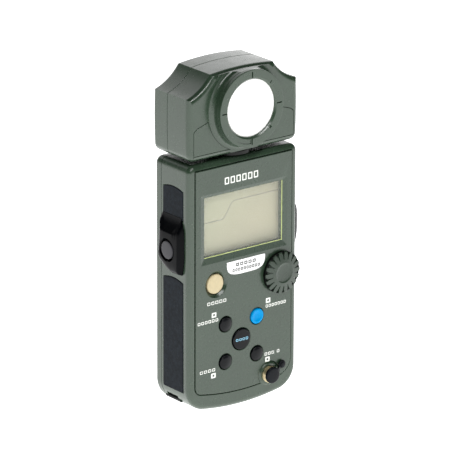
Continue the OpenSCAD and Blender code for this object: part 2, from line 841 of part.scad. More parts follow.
module mixing_box() {
    color("white") difference() {
        bar_y([0, eye_z], eye_r, -3.3, 6);
        bar_y([0, eye_z], eye_r - 1, -4, 5);
        for (x = [-4, 4]) for (z = [-4, 4]) bar_y([x, eye_z + z], 2, 0, 8);
    }
}

module filter_set() {
    color("lightblue") for (x = [-4, 4]) for (z = [-4, 4]) bar_y([x, eye_z + z], 3, 6.1, 7.2);
}

module photodiodes() {
    color("dimgray") for (x = [-4, 4]) for (z = [-4, 4]) bar_y([x, eye_z + z], 2.4, 7.4, sensor_t - 0.02);
}

module sensor_board() {
    color("seagreen") difference() {
        box([-18, sensor_t, 146], [18, sensor_t + 1.2, 170]);
        for (x = [-15, 15]) for (z = [149, 167]) bar_y([x, z], 1.1, 8, 12);
    }
}

// Hollow spindle with a collar whose lower groove ends at a lug, which stops the swivel at both ends
module swivel_spindle() {
    collar_z = body_h + 0.3;
    color("dimgray") difference() {
        union() {
            translate([0, 0, clip_z + 1]) cylinder(r = spindle_r, h = head_z + 4 - clip_z - 1);
            translate([0, 0, clip_z - 1]) cylinder(r = spindle_r - 0.8, h = 3);
            translate([0, 0, collar_z]) cylinder(r = neck_r, h = head_z - collar_z - 0.02);
            translate([0, 0, head_z + 2.02]) cylinder(r = spindle_r + 1.6, h = 1.6);
        }
        translate([0, 0, clip_z - 2]) cylinder(r = spindle_bore_r, h = 30);
        translate([0, 0, collar_z - 1]) difference() {
            cylinder(r = stop_r + stop_pin_r + 0.2, h = stop_groove_h + 1);
            translate([0, 0, -1]) cylinder(r = stop_r - stop_pin_r - 0.2, h = stop_groove_h + 3);
            rotate(stop_lug_angle) linear_extrude(stop_groove_h + 2) polygon(concat([[0, 0]],
                arc([0, 0], neck_r + 1, -stop_lug_half, stop_lug_half, 8)));
        }
    }
}

// Split retaining clip in the spindle's groove, under the bushing
module spindle_clip() {
    color("silver") translate([0, 0, clip_z]) difference() {
        cylinder(r = spindle_r + 1.4, h = 0.98);
        translate([0, 0, -1]) cylinder(r = spindle_r - 0.78, h = 3);
        translate([-12, -2, -1]) cube([8, 4, 3]);
    }
}

module wave_washer() {
    color("silver") translate([0, 0, clip_z + 1.4]) difference() {
        cylinder(r = spindle_r + 1.6, h = 0.5);
        translate([0, 0, -1]) cylinder(r = spindle_r + 0.1, h = 3);
    }
}

module head_screws() {
    color("silver") for (x = [-head_screw_at[0], head_screw_at[0]]) {
        z = head_screw_at[1];
        bar_y([x, z], screw_r - 0.02, 9, head_d - 2);
        difference() {
            bar_y([x, z], screw_head_r, head_d - 2.38, head_d - 0.6);
            box([x - 1.2, head_d - 1.3, z - 0.25], [x + 1.2, head_d, z + 0.25]);
            box([x - 0.25, head_d - 1.3, z - 1.2], [x + 0.25, head_d, z + 1.2]);
        }
    }
}

// Wire bundle from the sensor board down the hollow spindle
module sensor_cable() {
    color("gray") union() {
        translate([0, 0, 119]) cylinder(r = 1.6, h = 25);
        translate([0, 0, 144]) sphere(r = 1.6);
        bar_y([0, 144], 1.6, sensor_t - 1, -front_y);
        bar_y([0, 144], 1.6, sensor_t - 1.4, sensor_t);
    }
}

body_front_shell();
body_rear_shell();
front_panel();
display_window();
lcd_panel();
lcd_frame();
lcd_light_guide();
lcd_connectors();
model_badge();
main_board();
board_components();
key_switches();
jog_encoder();
grip_pad_left_upper();
grip_pad_left_lower();
grip_pad_right_upper();
grip_pad_right_lower();
measure_button_housing();
memory_button_housing();
side_switches();
sync_terminal();
sync_insulator();
sync_centre_pin();
sync_cap_strap();
strap_peg();
battery_tray();
batteries();
battery_springs();
battery_contacts();
tripod_socket();
strap_bar();
case_screws();
neck_bushing();
swivel_stop_pin();
power_button();
menu_button();
preset_button();
display_button();
mode_button();
set_button();
measure_button();
memory_button();
jog_dial();
sync_cap();
battery_cover();
head_front_shell();
head_rear_shell();
head_cheek_covers();
receptor_ring();
diffuser_disc();
mixing_box();
filter_set();
photodiodes();
sensor_board();
swivel_spindle();
spindle_clip();
wave_washer();
head_screws();
sensor_cable();
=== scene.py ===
"""Handheld light meter: the looks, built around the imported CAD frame.

The solids are built in millimetres. A point on the front is (x, z) at a depth t behind the body's front
plane, so levels in front of that plane are negative.
"""

import json
import math

import bmesh
import bpy
import numpy as np
from mathutils import Matrix, Vector

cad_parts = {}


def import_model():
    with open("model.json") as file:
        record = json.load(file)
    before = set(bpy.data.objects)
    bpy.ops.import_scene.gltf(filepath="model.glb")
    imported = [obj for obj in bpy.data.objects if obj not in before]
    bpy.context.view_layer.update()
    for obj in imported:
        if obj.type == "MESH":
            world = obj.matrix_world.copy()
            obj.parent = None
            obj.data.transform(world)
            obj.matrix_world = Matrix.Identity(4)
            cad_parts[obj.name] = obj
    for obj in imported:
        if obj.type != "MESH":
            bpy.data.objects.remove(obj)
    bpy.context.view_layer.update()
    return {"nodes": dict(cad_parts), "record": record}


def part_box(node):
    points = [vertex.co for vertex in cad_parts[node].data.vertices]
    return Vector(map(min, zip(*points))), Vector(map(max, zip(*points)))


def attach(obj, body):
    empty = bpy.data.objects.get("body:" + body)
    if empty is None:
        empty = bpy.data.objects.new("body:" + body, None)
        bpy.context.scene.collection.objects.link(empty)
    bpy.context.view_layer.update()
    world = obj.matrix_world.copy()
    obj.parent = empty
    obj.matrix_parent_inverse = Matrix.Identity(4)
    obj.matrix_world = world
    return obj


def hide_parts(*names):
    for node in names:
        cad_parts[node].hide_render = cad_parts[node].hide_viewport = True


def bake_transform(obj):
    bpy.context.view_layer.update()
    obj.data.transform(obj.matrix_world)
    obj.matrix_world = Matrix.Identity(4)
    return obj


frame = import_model()
MM = 0.001
PI = math.pi

# ---------------------------------------------------------------- where things are, from the CAD frame


def span(node):
    """Lowest and highest corner of a CAD node in millimetres."""
    low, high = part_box(node)
    return np.array(low) / MM, np.array(high) / MM


def centre(node):
    low, high = span(node)
    return (low + high) / 2


FRONT = span("head_cheek_covers")[0][1]  # y of the body's front plane
SIDE = 34.5  # x of the body's flat sides
BODY_TOP = 132.0
FOOT_R = 140.0  # radius of the body's bowed foot
PART_T = 22.5  # depth of the case's parting line
BODY_D = 28.4  # depth of the case's back face
BACK_T = 31.6  # depth of the pad on the back
HEAD_Z, HEAD_TOP = 134.0, 178.0
HEAD_PART_T = 17.6  # depth of the head's parting line
HEAD_D = 30.0  # depth of the head's back face
HEAD_BOW = 0.3  # how far the head's sides bulge
EDGE = 3.0  # radius of the shells' long edges
WALL = 2.0
FACE = -0.4  # depth of the fascia's face
eye = centre("diffuser_disc")
EYE = (0.0, eye[2])  # centre of the receptor

# ---------------------------------------------------------------- outlines, as arrays of 2D points


def arc(c, r, a0, a1, n=12):
    a = np.radians(np.linspace(a0, a1, n + 1))
    return np.stack([c[0] + r * np.cos(a), c[1] + r * np.sin(a)], 1)


def circle(c, r, n=96):
    return arc(c, r, 0, 360, n)[:-1]


def quarter(steps):
    """Angles of a quarter turn in equal steps."""
    return [PI / 2 * j / steps for j in range(steps + 1)]


def soft(corners, closed=True, per=8):
    """Line through corners (x, y, r), each rounded by its own r."""
    out, n = [], len(corners)
    for i, (x, y, r) in enumerate(corners):
        p = np.array([x, y], float)
        if r == 0 or (not closed and i in (0, n - 1)):
            out.append(p)
            continue
        u = np.array(corners[i - 1][:2], float) - p
        v = np.array(corners[(i + 1) % n][:2], float) - p
        u, v = u / np.linalg.norm(u), v / np.linalg.norm(v)
        half = math.acos(np.clip(u @ v, -1, 1)) / 2
        c = p + (u + v) / np.linalg.norm(u + v) * r / math.sin(half)
        s, e = p + u * r / math.tan(half) - c, p + v * r / math.tan(half) - c
        a0 = math.atan2(s[1], s[0])
        turn = (math.atan2(e[1], e[0]) - a0 + PI) % (2 * PI) - PI
        k = max(1, math.ceil(abs(turn) / (PI / 2) * per))
        turns = [a0 + turn * j / k for j in range(k + 1)]
        out += [c + r * np.array([math.cos(b), math.sin(b)]) for b in turns]
    return np.array(out)


def rect(x0, x1, z0, z1, r=0.0):
    return soft([(x0, z0, r), (x1, z0, r), (x1, z1, r), (x0, z1, r)])


def grow(line, d):
    """Closed anticlockwise outline, moved outwards by d."""
    e0 = line - np.roll(line, 1, 0)
    e0 = e0 / np.linalg.norm(e0, axis=1)[:, None]
    e1 = np.roll(e0, -1, 0)
    n0 = np.stack([e0[:, 1], -e0[:, 0]], 1)
    n1 = np.stack([e1[:, 1], -e1[:, 0]], 1)
    return line + d * (n0 + n1) / (1 + (n0 * n1).sum(1))[:, None]


def body_outline():
    """Straight sides, a bowed foot with wide corners, and small top corners."""
    low_r, top_r = 12.5, 4
    cx = SIDE - low_r
    tilt = math.degrees(math.asin(cx / (FOOT_R - low_r)))
    cz = FOOT_R - (FOOT_R - low_r) * math.cos(math.radians(tilt))
    x, z = SIDE - top_r, BODY_TOP - top_r
    return np.concatenate(
        [
            arc((0, FOOT_R), FOOT_R, 270 - tilt, 270 + tilt, 30)[1:-1],
            arc((cx, cz), low_r, 270 + tilt, 360, 16),
            arc((x, z), top_r, 0, 90, 10),
            arc((-x, z), top_r, 90, 180, 10),
            arc((-cx, cz), low_r, 180, 270 - tilt, 16),
        ]
    )


def panel_outline():
    """Fascia: straight sides, an arched lower edge with a wider right corner."""
    x, r = 30.4, FOOT_R - 8.6
    left_r, right_r = 4.0, 9.0
    tl = math.degrees(math.asin((x - left_r) / (r - left_r)))
    tr = math.degrees(math.asin((x - right_r) / (r - right_r)))
    zl = FOOT_R - (r - left_r) * math.cos(math.radians(tl))
    zr = FOOT_R - (r - right_r) * math.cos(math.radians(tr))
    top = BODY_TOP - EDGE
    return np.concatenate(
        [
            arc((0, FOOT_R), r, 270 - tl, 270 + tr, 30)[1:-1],
            arc((x - right_r, zr), right_r, 270 + tr, 360, 12),
            [[x, top], [-x, top]],
            arc((left_r - x, zl), left_r, 180, 270 - tl, 10),
        ]
    )


def head_outline():
    """A shallow arch between two hollow shoulders."""
    w, low, hollow_r, roof_r = 34.2, 4.0, 28.0, 148.0
    hollow, roof = np.array([42.4, 192.95]), np.array([0.0, HEAD_TOP - roof_r])
    line = roof - hollow
    d = np.linalg.norm(line)
    swing = math.degrees(math.acos((hollow_r * hollow_r + d * d - roof_r * roof_r) / (2 * hollow_r * d)))
    a_top = 360 + math.degrees(math.atan2(line[1], line[0])) - swing
    a_low = 180 + math.degrees(math.acos((hollow[0] - w) / hollow_r))
    right = arc(hollow, hollow_r, a_low, a_top, 20)
    z0, z1 = HEAD_Z + low, right[0][1]
    z = np.linspace(z0, z1, 12)[1:-1]
    bow = np.stack([w + HEAD_BOW * (1 - ((2 * z - z0 - z1) / (z1 - z0)) ** 2), z], 1)
    right = np.concatenate([bow, right])
    a = math.degrees(math.atan2(right[-1][1] - roof[1], right[-1][0]))
    return np.concatenate(
        [
            arc((low - w, HEAD_Z + low), low, 180, 270, 8),
            arc((w - low, HEAD_Z + low), low, 270, 360, 8),
            right,
            arc(roof, roof_r, a, 180 - a, 24)[1:-1],
            right[::-1] * [-1, 1],
        ]
    )


def cheek_outline(gap=0.0):
    """Cover over the head's two cheeks, with a step up towards the boss on each side."""
    x, top = 31.3 + gap, 151 + gap
    right = [(x, HEAD_Z + EDGE - gap, 0), (x, top - 1.6, 1.2), (x - 2.2, top, 0.8), (x - 9, top + 2.2, 0)]
    return soft([(-x, right[0][1], 0)] + right + [(-px, pz, r) for px, pz, r in right[:0:-1]])


# ---------------------------------------------------------------- solids


def front(line, t):
    """Points of a 2D (x, z) line at depth t."""
    return np.stack([line[:, 0], np.full(len(line), FRONT + t), line[:, 1]], 1)


def left(line, out):
    """Points of a (t, z) line on the left side, out millimetres outside its flat."""
    return np.stack([np.full(len(line), -SIDE - out), FRONT + line[:, 0], line[:, 1]], 1)


def level(line, z):
    """Points of an (x, y) line at height z."""
    return np.stack([line[:, 0], line[:, 1], np.full(len(line), z)], 1)


def solid(points, faces):
    mesh = bpy.data.meshes.new("solid")
    bm = bmesh.new()
    verts = [bm.verts.new(p) for p in points]
    for f in faces:
        if len(set(f)) > 2:
            bm.faces.new([verts[i] for i in f])
    bmesh.ops.remove_doubles(bm, verts=bm.verts, dist=1e-4)
    bmesh.ops.dissolve_degenerate(bm, edges=bm.edges, dist=1e-5)
    bmesh.ops.recalc_face_normals(bm, faces=bm.faces)
    bm.to_mesh(mesh)
    bm.free()
    o = bpy.data.objects.new("solid", mesh)
    bpy.context.scene.collection.objects.link(o)
    return o


def loft(rings, closed=False):
    """Skin through rings of the same number of points, with a cap at each end unless closed."""
    n, m = len(rings[0]), len(rings)
    faces = [
        (k * n + i, k * n + (i + 1) % n, (k + 1) % m * n + (i + 1) % n, (k + 1) % m * n + i)
        for k in range(m if closed else m - 1)
        for i in range(n)
    ]
    if not closed:
        faces += [tuple(range(n))[::-1], tuple((m - 1) * n + i for i in range(n))]
    return solid(np.concatenate(rings), faces)


def slab(line, t0, t1, r0=0.0, r1=0.0, at=front, steps=5):
    """Plate between two levels; r0 and r1 round the edges of its two faces."""
    sign = 1 if t1 > t0 else -1

    def edge_rings(t, r, towards):
        turns = quarter(steps) if r else [PI / 2]
        return [at(grow(line, -r * (1 - math.sin(a))), t + towards * r * (1 - math.cos(a))) for a in turns]

    return loft(edge_rings(t0, r0, sign) + edge_rings(t1, r1, -sign)[::-1])


def pocket(line, t0, t1, lip=0.2, at=front, reach=2.0, steps=4):
    """Cutter from above a face at t0 down to t1, which leaves a rounded lip."""
    sign = 1 if t1 > t0 else -1
    rings = [at(grow(line, lip), t0 - sign * reach)]
    rings += [
        at(grow(line, lip * (1 - math.sin(a))), t0 + sign * lip * (1 - math.cos(a)))
        for a in quarter(steps)
    ]
    return loft(rings + [at(line, t1)])


def turned(c, profile, at=front, n=96):
    """Turned solid about the axis through c: profile is a list of (radius, level)."""
    return loft([at(circle(c, max(r, 1e-5), n), t) for r, t in profile])


def rod(c, r, t0, t1, n=96):
    """Round bar along the depth."""
    return turned(c, [(0, t0), (r, t0), (r, t1), (0, t1)], n=n)


def ring(c, profile, at=front, n=96):
    """Turned ring with a closed profile."""
    return loft([at(circle(c, r, n), t) for r, t in profile], closed=True)


def block(x0, x1, t0, t1, z0, z1):
    return slab(rect(x0, x1, z0, z1), t0, t1)


def settle(o):
    """Applies an object's modifiers."""
    graph = bpy.context.evaluated_depsgraph_get()
    mesh = bpy.data.meshes.new_from_object(o.evaluated_get(graph))
    o.modifiers.clear()
    old, o.data = o.data, mesh
    bpy.data.meshes.remove(old)
    return o


def combine(base, tool, how="DIFFERENCE"):
    mod = base.modifiers.new("combine", "BOOLEAN")
    mod.operation, mod.object, mod.solver = how, tool, "MANIFOLD"
    settle(base)
    bpy.data.objects.remove(tool)
    return base


def cut(base, *tools):
    for tool in tools:
        combine(base, tool)
    return base


def add(base, *tools):
    for tool in tools:
        combine(base, tool, "UNION")
    return base


def joined(parts):
    mesh = bpy.data.meshes.new("joined")
    bm = bmesh.new()
    for p in parts:
        bm.from_mesh(p.data)
        bpy.data.objects.remove(p)
    bm.to_mesh(mesh)
    bm.free()
    o = bpy.data.objects.new("joined", mesh)
    bpy.context.scene.collection.objects.link(o)
    return o


def mirrored(o):
    o.data.transform(Matrix.Scale(-1, 4, (1, 0, 0)))
    o.data.flip_normals()
    return o


def bevel(o, width, angle=30, segments=3):
    mod = o.modifiers.new("bevel", "BEVEL")
    mod.width, mod.segments, mod.limit_method, mod.angle_limit = width, segments, "ANGLE", math.radians(angle)
    mod.harden_normals = False
    return settle(o)


def finish(o, name, mat, smooth):
    """Names a solid, scales it to metres, and gives it its material and its sharp edges."""
    o.name = o.data.name = name
    o.data.transform(Matrix.Scale(MM, 4))
    o.data.shade_smooth()
    o.data.set_sharp_from_angle(angle=math.radians(smooth))
    o.data.materials.clear()
    o.data.materials.append(mat)
    return o


def piece(o, name, body, mat, slot, *nodes, smooth=32):
    """Finishes a solid, attaches it to its CAD body, and hides the CAD nodes that it stands in for."""
    finish(o, name, mat, smooth)
    mod = o.modifiers.new("normals", "WEIGHTED_NORMAL")
    mod.keep_sharp = True
    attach(o, body)
    if nodes:
        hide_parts(*nodes)


def dress(node, mat):
    """Gives a CAD node that stays visible its material."""
    mesh = frame["nodes"][node].data
    mesh.materials.clear()
    mesh.materials.append(mat)


# ---------------------------------------------------------------- materials


def srgb(r, g, b):
    """Linear colour of an 8-bit screen colour."""
    shares = (c / 255 for c in (r, g, b))
    return tuple((c / 12.92 if c <= 0.04045 else ((c + 0.055) / 1.055) ** 2.4) for c in shares) + (1.0,)


def material(
    name, colour, rough, *, vary=0.12, patch=60, grain=3500, depth=0.006, speck=0.0, rough_vary=0.06, **inputs
):
    """Procedural surface: patchy colour and roughness, fine moulded grain, and light specks.
    patch and grain are noise scales per metre, depth is the grain's height in millimetres."""
    m = bpy.data.materials.new(name)
    m.use_nodes = True
    nt = m.node_tree
    nt.nodes.clear()
    new, link = nt.nodes.new, nt.links.new
    out, sh, co = new("ShaderNodeOutputMaterial"), new("ShaderNodeBsdfPrincipled"), new("ShaderNodeTexCoord")
    link(sh.outputs[0], out.inputs[0])

    def noise(scale, detail=3.0, roughness=0.55):
        n = new("ShaderNodeTexNoise")
        n.inputs["Scale"].default_value, n.inputs["Detail"].default_value = scale, detail
        n.inputs["Roughness"].default_value = roughness
        link(co.outputs["Object"], n.inputs["Vector"])
        return n.outputs["Fac"]

    def mix(fac, a, b, blend="MIX"):
        n = new("ShaderNodeMix")
        n.data_type, n.blend_type = "RGBA", blend
        for socket, value in ((n.inputs["Factor"], fac), (n.inputs["A"], a), (n.inputs["B"], b)):
            if isinstance(value, bpy.types.NodeSocket):
                link(value, socket)
            else:
                socket.default_value = value
        return n.outputs["Result"]

    def remap(value, lo, hi, to_lo, to_hi):
        n = new("ShaderNodeMapRange")
        link(value, n.inputs[0])
        for i, v in enumerate((lo, hi, to_lo, to_hi)):
            n.inputs[i + 1].default_value = v
        return n.outputs[0]

    dark = tuple(c * (1 - vary) for c in colour[:3]) + (1.0,)
    light = tuple(min(1.0, c * (1 + vary)) for c in colour[:3]) + (1.0,)
    base = mix(remap(noise(patch), 0.35, 0.65, 0, 1), dark, light)
    fine = noise(grain, 2.0)
    if speck:
        pale = tuple(min(1.0, c * 1.8 + 0.02) for c in colour[:3]) + (1.0,)
        base = mix(remap(fine, 0.56, 0.7, 0, speck), base, pale)
    link(base, sh.inputs["Base Color"])
    link(remap(noise(patch * 4), 0.3, 0.7, rough - rough_vary, rough + rough_vary), sh.inputs["Roughness"])
    if depth:
        b = new("ShaderNodeBump")
        b.inputs["Distance"].default_value = depth * MM
        b.inputs["Strength"].default_value = 1.0
        link(fine, b.inputs["Height"])
        link(b.outputs[0], sh.inputs["Normal"])
    for key, value in inputs.items():
        sh.inputs[key.replace("_", " ")].default_value = value
    return m


case = material("case_plastic", srgb(46, 63, 48), 0.24, vary=0.05, depth=0.0, Specular_IOR_Level=0.6)
panel = material("fascia_plastic", srgb(44, 61, 46), 0.28, vary=0.05, depth=0.0, Specular_IOR_Level=0.6)
dial_mat = material("dial_plastic", srgb(42, 56, 44), 0.26, vary=0.08, depth=0.0, Specular_IOR_Level=0.5)
rubber = material(
    "grip_rubber", srgb(20, 26, 32), 0.45,
    vary=0.3, patch=500, grain=1600, depth=0.05, speck=0.35, Specular_IOR_Level=0.05,
)
housing_mat = material("housing_plastic", srgb(3, 4, 6), 0.18, vary=0.15, depth=0.0015, Specular_IOR_Level=0.06)
# Near-black for the painted shade under the jog dial
underside_shade_mat = material("dial_underside_shade", srgb(5, 7, 6), 0.5, vary=0.2, depth=0.002, Specular_IOR_Level=0.1)
side_mat = material(
    "side_button_plastic", srgb(58, 58, 62), 0.4, vary=0.08, depth=0.01, grain=5000, Specular_IOR_Level=0.2
)
key_mat = material("key_black", srgb(8, 10, 13), 0.14, vary=0.12, depth=0.001, Specular_IOR_Level=0.15)
ivory = material("key_ivory", srgb(192, 178, 140), 0.4, vary=0.05, patch=700, depth=0.01, grain=2500)
blue = material(
    "key_blue", srgb(0, 140, 204), 0.16, vary=0.05, depth=0.001, grain=3000, Specular_IOR_Level=0.08
)
gold = material("terminal_gold", srgb(232, 214, 174), 0.3, vary=0.05, depth=0.002, Metallic=1.0)
cap_mat = material("cap_rubber", srgb(12, 15, 20), 0.36, vary=0.15, depth=0.006, Specular_IOR_Level=0.12)
white_disc = material("diffuser_white", srgb(250, 250, 248), 0.6, vary=0.01, depth=0.004)
badge_mat = material("badge_white", srgb(252, 252, 251), 0.35, vary=0.01, depth=0.001)
print_white = material("print_white", srgb(236, 238, 232), 0.5, vary=0.04, patch=900, depth=0.002)
print_dark = material("print_dark", srgb(24, 26, 30), 0.5, vary=0.05, patch=900, depth=0.002)
print_blue = material("print_blue", srgb(130, 190, 215), 0.5, vary=0.05, patch=900, depth=0.002)
black_steel = material("screw_black", srgb(58, 58, 60), 0.35, vary=0.08, depth=0.002, Metallic=0.8)
bar_mat = material("strap_bar_black", srgb(14, 15, 15), 0.4, vary=0.1, depth=0.002, Specular_IOR_Level=0.2)
insert_mat = material("insert_steel", srgb(190, 188, 182), 0.28, vary=0.05, depth=0.002, Metallic=1.0)
spindle_mat = material("spindle_black", srgb(16, 19, 16), 0.35, vary=0.06, depth=0.002, Specular_IOR_Level=0.2)
mask_mat = material("lcd_black", srgb(34, 37, 30), 0.45, vary=0.1, depth=0.002)
# Painted highlight: bright yellow-green colour for the lit edge of the clear window
lens_glint_mat = material("lens_glint", srgb(196, 210, 130), 0.3, vary=0.06, depth=0.001)
trace_mat = material("lcd_trace", srgb(96, 98, 96), 0.6, vary=0.05, depth=0.001)

# Parts inside, seen only through gaps and openings
inner = {
    "lcd_glass": srgb(200, 198, 170),
    "lcd_black": srgb(34, 37, 30),
    "light_guide": srgb(232, 235, 214),
    "elastomer": srgb(120, 120, 120),
    "circuit_board": srgb(30, 90, 60),
    "chip_black": srgb(30, 30, 32),
    "switch_metal": srgb(170, 170, 172),
    "encoder_grey": srgb(110, 112, 115),
    "insulator_white": srgb(235, 235, 228),
    "tray_black": srgb(36, 36, 38),
    "battery_skin": srgb(70, 72, 80),
    "spring_steel": srgb(180, 180, 182),
    "insert_steel": srgb(190, 188, 182),
    "screw_steel": srgb(168, 168, 170),
    "bushing_acetal": srgb(228, 224, 205),
    "box_white": srgb(240, 240, 236),
    "filter_glass": srgb(130, 160, 170),
    "diode_black": srgb(30, 30, 34),
    "spindle_black": srgb(70, 72, 70),
    "wire_grey": srgb(120, 120, 124),
    "terminal_gold": srgb(226, 186, 120),
}
METAL = ("switch_metal", "spring_steel", "insert_steel", "screw_steel", "terminal_gold")


def lens_material():
    """Clear window: mostly see-through, with a faint polish-mark roughness."""
    return material("window_clear", srgb(225, 232, 220), 0.06, vary=0.02, depth=0.0, rough_vary=0.02, Alpha=0.1)


def lcd_material():
    """Reflective display: greener at its upper left, changing smoothly to warmer at its lower right."""
    m = material("lcd_glass", srgb(168, 161, 136), 0.55, vary=0.02, depth=0.0)
    nt = m.node_tree
    sh = next(n for n in nt.nodes if n.type == "BSDF_PRINCIPLED")
    co = next(n for n in nt.nodes if n.type == "TEX_COORD")
    sep = nt.nodes.new("ShaderNodeSeparateXYZ")
    nt.links.new(co.outputs["Object"], sep.inputs[0])
    diff = nt.nodes.new("ShaderNodeMath")
    diff.operation = "SUBTRACT"
    nt.links.new(sep.outputs["Z"], diff.inputs[0])
    nt.links.new(sep.outputs["X"], diff.inputs[1])
    amount = nt.nodes.new("ShaderNodeMapRange")
    nt.links.new(diff.outputs[0], amount.inputs[0])
    warm, green = 0.085, 0.125  # z - x, in metres, where the display is at its warmest and greenest
    for i, v in enumerate((warm, green, 0.0, 1.0)):
        amount.inputs[i + 1].default_value = v
    mixer = nt.nodes.new("ShaderNodeMix")
    mixer.data_type, mixer.blend_type = "RGBA", "MULTIPLY"
    mixer.inputs["B"].default_value = (0.93, 1.0, 0.97, 1.0)
    nt.links.new(amount.outputs[0], mixer.inputs["Factor"])
    nt.links.new(sh.inputs["Base Color"].links[0].from_socket, mixer.inputs["A"])
    nt.links.new(mixer.outputs["Result"], sh.inputs["Base Color"])
    return m


slots = {s["node"]: s["material_slot"] for s in frame["record"]["subparts"]}
inner_mats = {
    s: material("inner_" + s, c, 0.4, vary=0.08, Metallic=1.0 if s in METAL else 0.0) for s, c in inner.items()
}
for name in frame["nodes"]:
    dress(name, inner_mats.get(slots[name], case))

# ---------------------------------------------------------------- case

OUT = body_outline()
CORE_T = 3.1  # depth at which the front halves' hollow starts
SEAM = 0.1  # half the width of the parting gaps
THROUGH = 5  # level behind the front wall, for holes through it
KEY_HOLE_GAP = 0.5
SCREW_WELL_R, SCREW_WELL_T = 2.35, 2.2
CASE_SCREWS = [(x, z) for x in (-28.4, 28.4) for z in (19, 124)]
HEAD_SCREWS = [(x, 143) for x in (-27, 27)]
TRIPOD = (0, 90)
TRIPOD_R = 6.05
COVER_X, COVER_Z0, COVER_Z1 = 20, 13, 73  # battery cover: half width, bottom and top
COVER_T, COVER_GAP = 1.6, 0.15  # its thickness, and the gap round it
HINGE_Z, HINGE_R, PIVOT_R = 11.8, 0.8, 0.58
WIN = (24.7, 82.7, 114.3)  # half width, bottom and top of the window
BEZEL = (27.3, 79.4, 116.1)


def pad_outline(low, high, gap=0.0):
    """Grip pad on the side in (t, z), with an arched top."""
    t0, t1, rise = 4.6, 20.8, 1.5
    half = (t1 - t0) / 2
    r = (half * half + rise * rise) / (2 * rise)
    swing = math.degrees(math.asin(half / r))
    c = ((t0 + t1) / 2, high + rise - r)
    top = arc(c, r + gap, 90 - swing, 90 + swing, 14)
    return np.concatenate([[[t0 - gap, low - gap], [t1 + gap, low - gap]], top])


PADS = {"lower": (12.4, 70.3), "upper": (103.2, 118.0)}
PAD_T = 1.0  # depth of the pads' pockets
SLOT_T = (11.0, 20.0)  # strap slot at the lower left corner
SLOT_X, SLOT_Z, SLOT_WALL = -27.2, 8.8, 1.6
sync_c, peg_c = centre("sync_centre_pin")[[0, 2]], centre("strap_peg")[[0, 2]]
dial_c = centre("jog_dial")[[0, 2]]
# Radius, height over the body's front plane, drop from the top's middle to its rim, material, slot
KEYS = {
    "preset_button": (3.8, 1.6, 0.55, key_mat, "key_black"),
    "mode_button": (3.8, 1.6, 0.55, key_mat, "key_black"),
    "set_button": (3.8, 1.6, 0.55, key_mat, "key_black"),
    "display_button": (4.0, 1.3, 0.3, blue, "key_blue"),
    "menu_button": (5.5, 1.2, 0.15, key_mat, "key_black"),
    "power_button": (5.15, -0.1, 0.15, ivory, "key_ivory"),
}
key_c = {k: centre(k)[[0, 2]] for k in KEYS}
side_c = centre("measure_button")
SIDE_BUTTON = (side_c[1] - FRONT, side_c[2])


def shell_rings(line, t_face, t_part, edge=EDGE, lip=0.22, steps=10):
    """Rings of a shell half from its rounded face to its parting edge, which has a small round lip."""
    sign = 1 if t_part > t_face else -1
    rings = [
        front(grow(line, -edge * (1 - math.sin(a))), t_face + sign * edge * (1 - math.cos(a)))
        for a in quarter(steps)
    ]
    return rings + [
        front(grow(line, -lip * (1 - math.cos(a))), t_part - sign * lip * (1 - math.sin(a)))
        for a in quarter(3)
    ]


def strap_slot():
    corners = [(-40, -3, 0), (SLOT_X, -3, 0), (SLOT_X, SLOT_Z, 1.2), (-40, SLOT_Z, 0)]
    return slab(soft(corners), *SLOT_T)


def sync_boss():
    """Low round boss with a stepped rim, which the sync terminal stands on."""
    profile = [(0, 1.5), (6.6, 1.5), (6.6, 0.3), (6.3, 0.0), (6.0, -0.12)]
    return turned(sync_c, profile + [(5.75, -0.4), (5.55, -0.6), (5.3, -0.66), (0, -0.66)])


def front_shell():
    o = loft(shell_rings(OUT, 0, PART_T - SEAM))
    cut(o, slab(grow(OUT, -WALL), CORE_T, PART_T + 2))
    cut(o, pocket(grow(panel_outline(), 0.42), 0, 1.6, 0.3))
    add(o, sync_boss())
    cut(o, rod(sync_c, 3.6, -2, THROUGH, 48))
    cut(o, block(-WIN[0] - 0.3, WIN[0] + 0.3, -1, THROUGH, WIN[1] - 0.5, WIN[2] + 0.3))
    cut(o, rod(dial_c, 3.4, -1, THROUGH, 48))
    for name, (r, *_) in KEYS.items():
        cut(o, rod(key_c[name], r + KEY_HOLE_GAP, -1, THROUGH, 64))
    for low, high in PADS.values():
        cut(o, pocket(pad_outline(low, high, 0.2), 0, -PAD_T, 0.15, at=left))
        cut(o, mirrored(pocket(pad_outline(low, high, 0.2), 0, -PAD_T, 0.15, at=left)))
    for flip in (False, True):
        hole = slab(circle(SIDE_BUTTON, 2.6, 32), 1, -WALL - 1, at=left)
        cut(o, mirrored(hole) if flip else hole)
    cut(o, slab(circle((0, 0), 8, 64), BODY_TOP - 4, BODY_TOP + 1, at=level))
    corner = block(-40, SLOT_X + SLOT_WALL, 8, 30, -5, SLOT_Z + SLOT_WALL)
    add(o, combine(slab(grow(OUT, -1), 8.5, PART_T - SEAM), corner, "INTERSECT"))
    return cut(o, strap_slot())


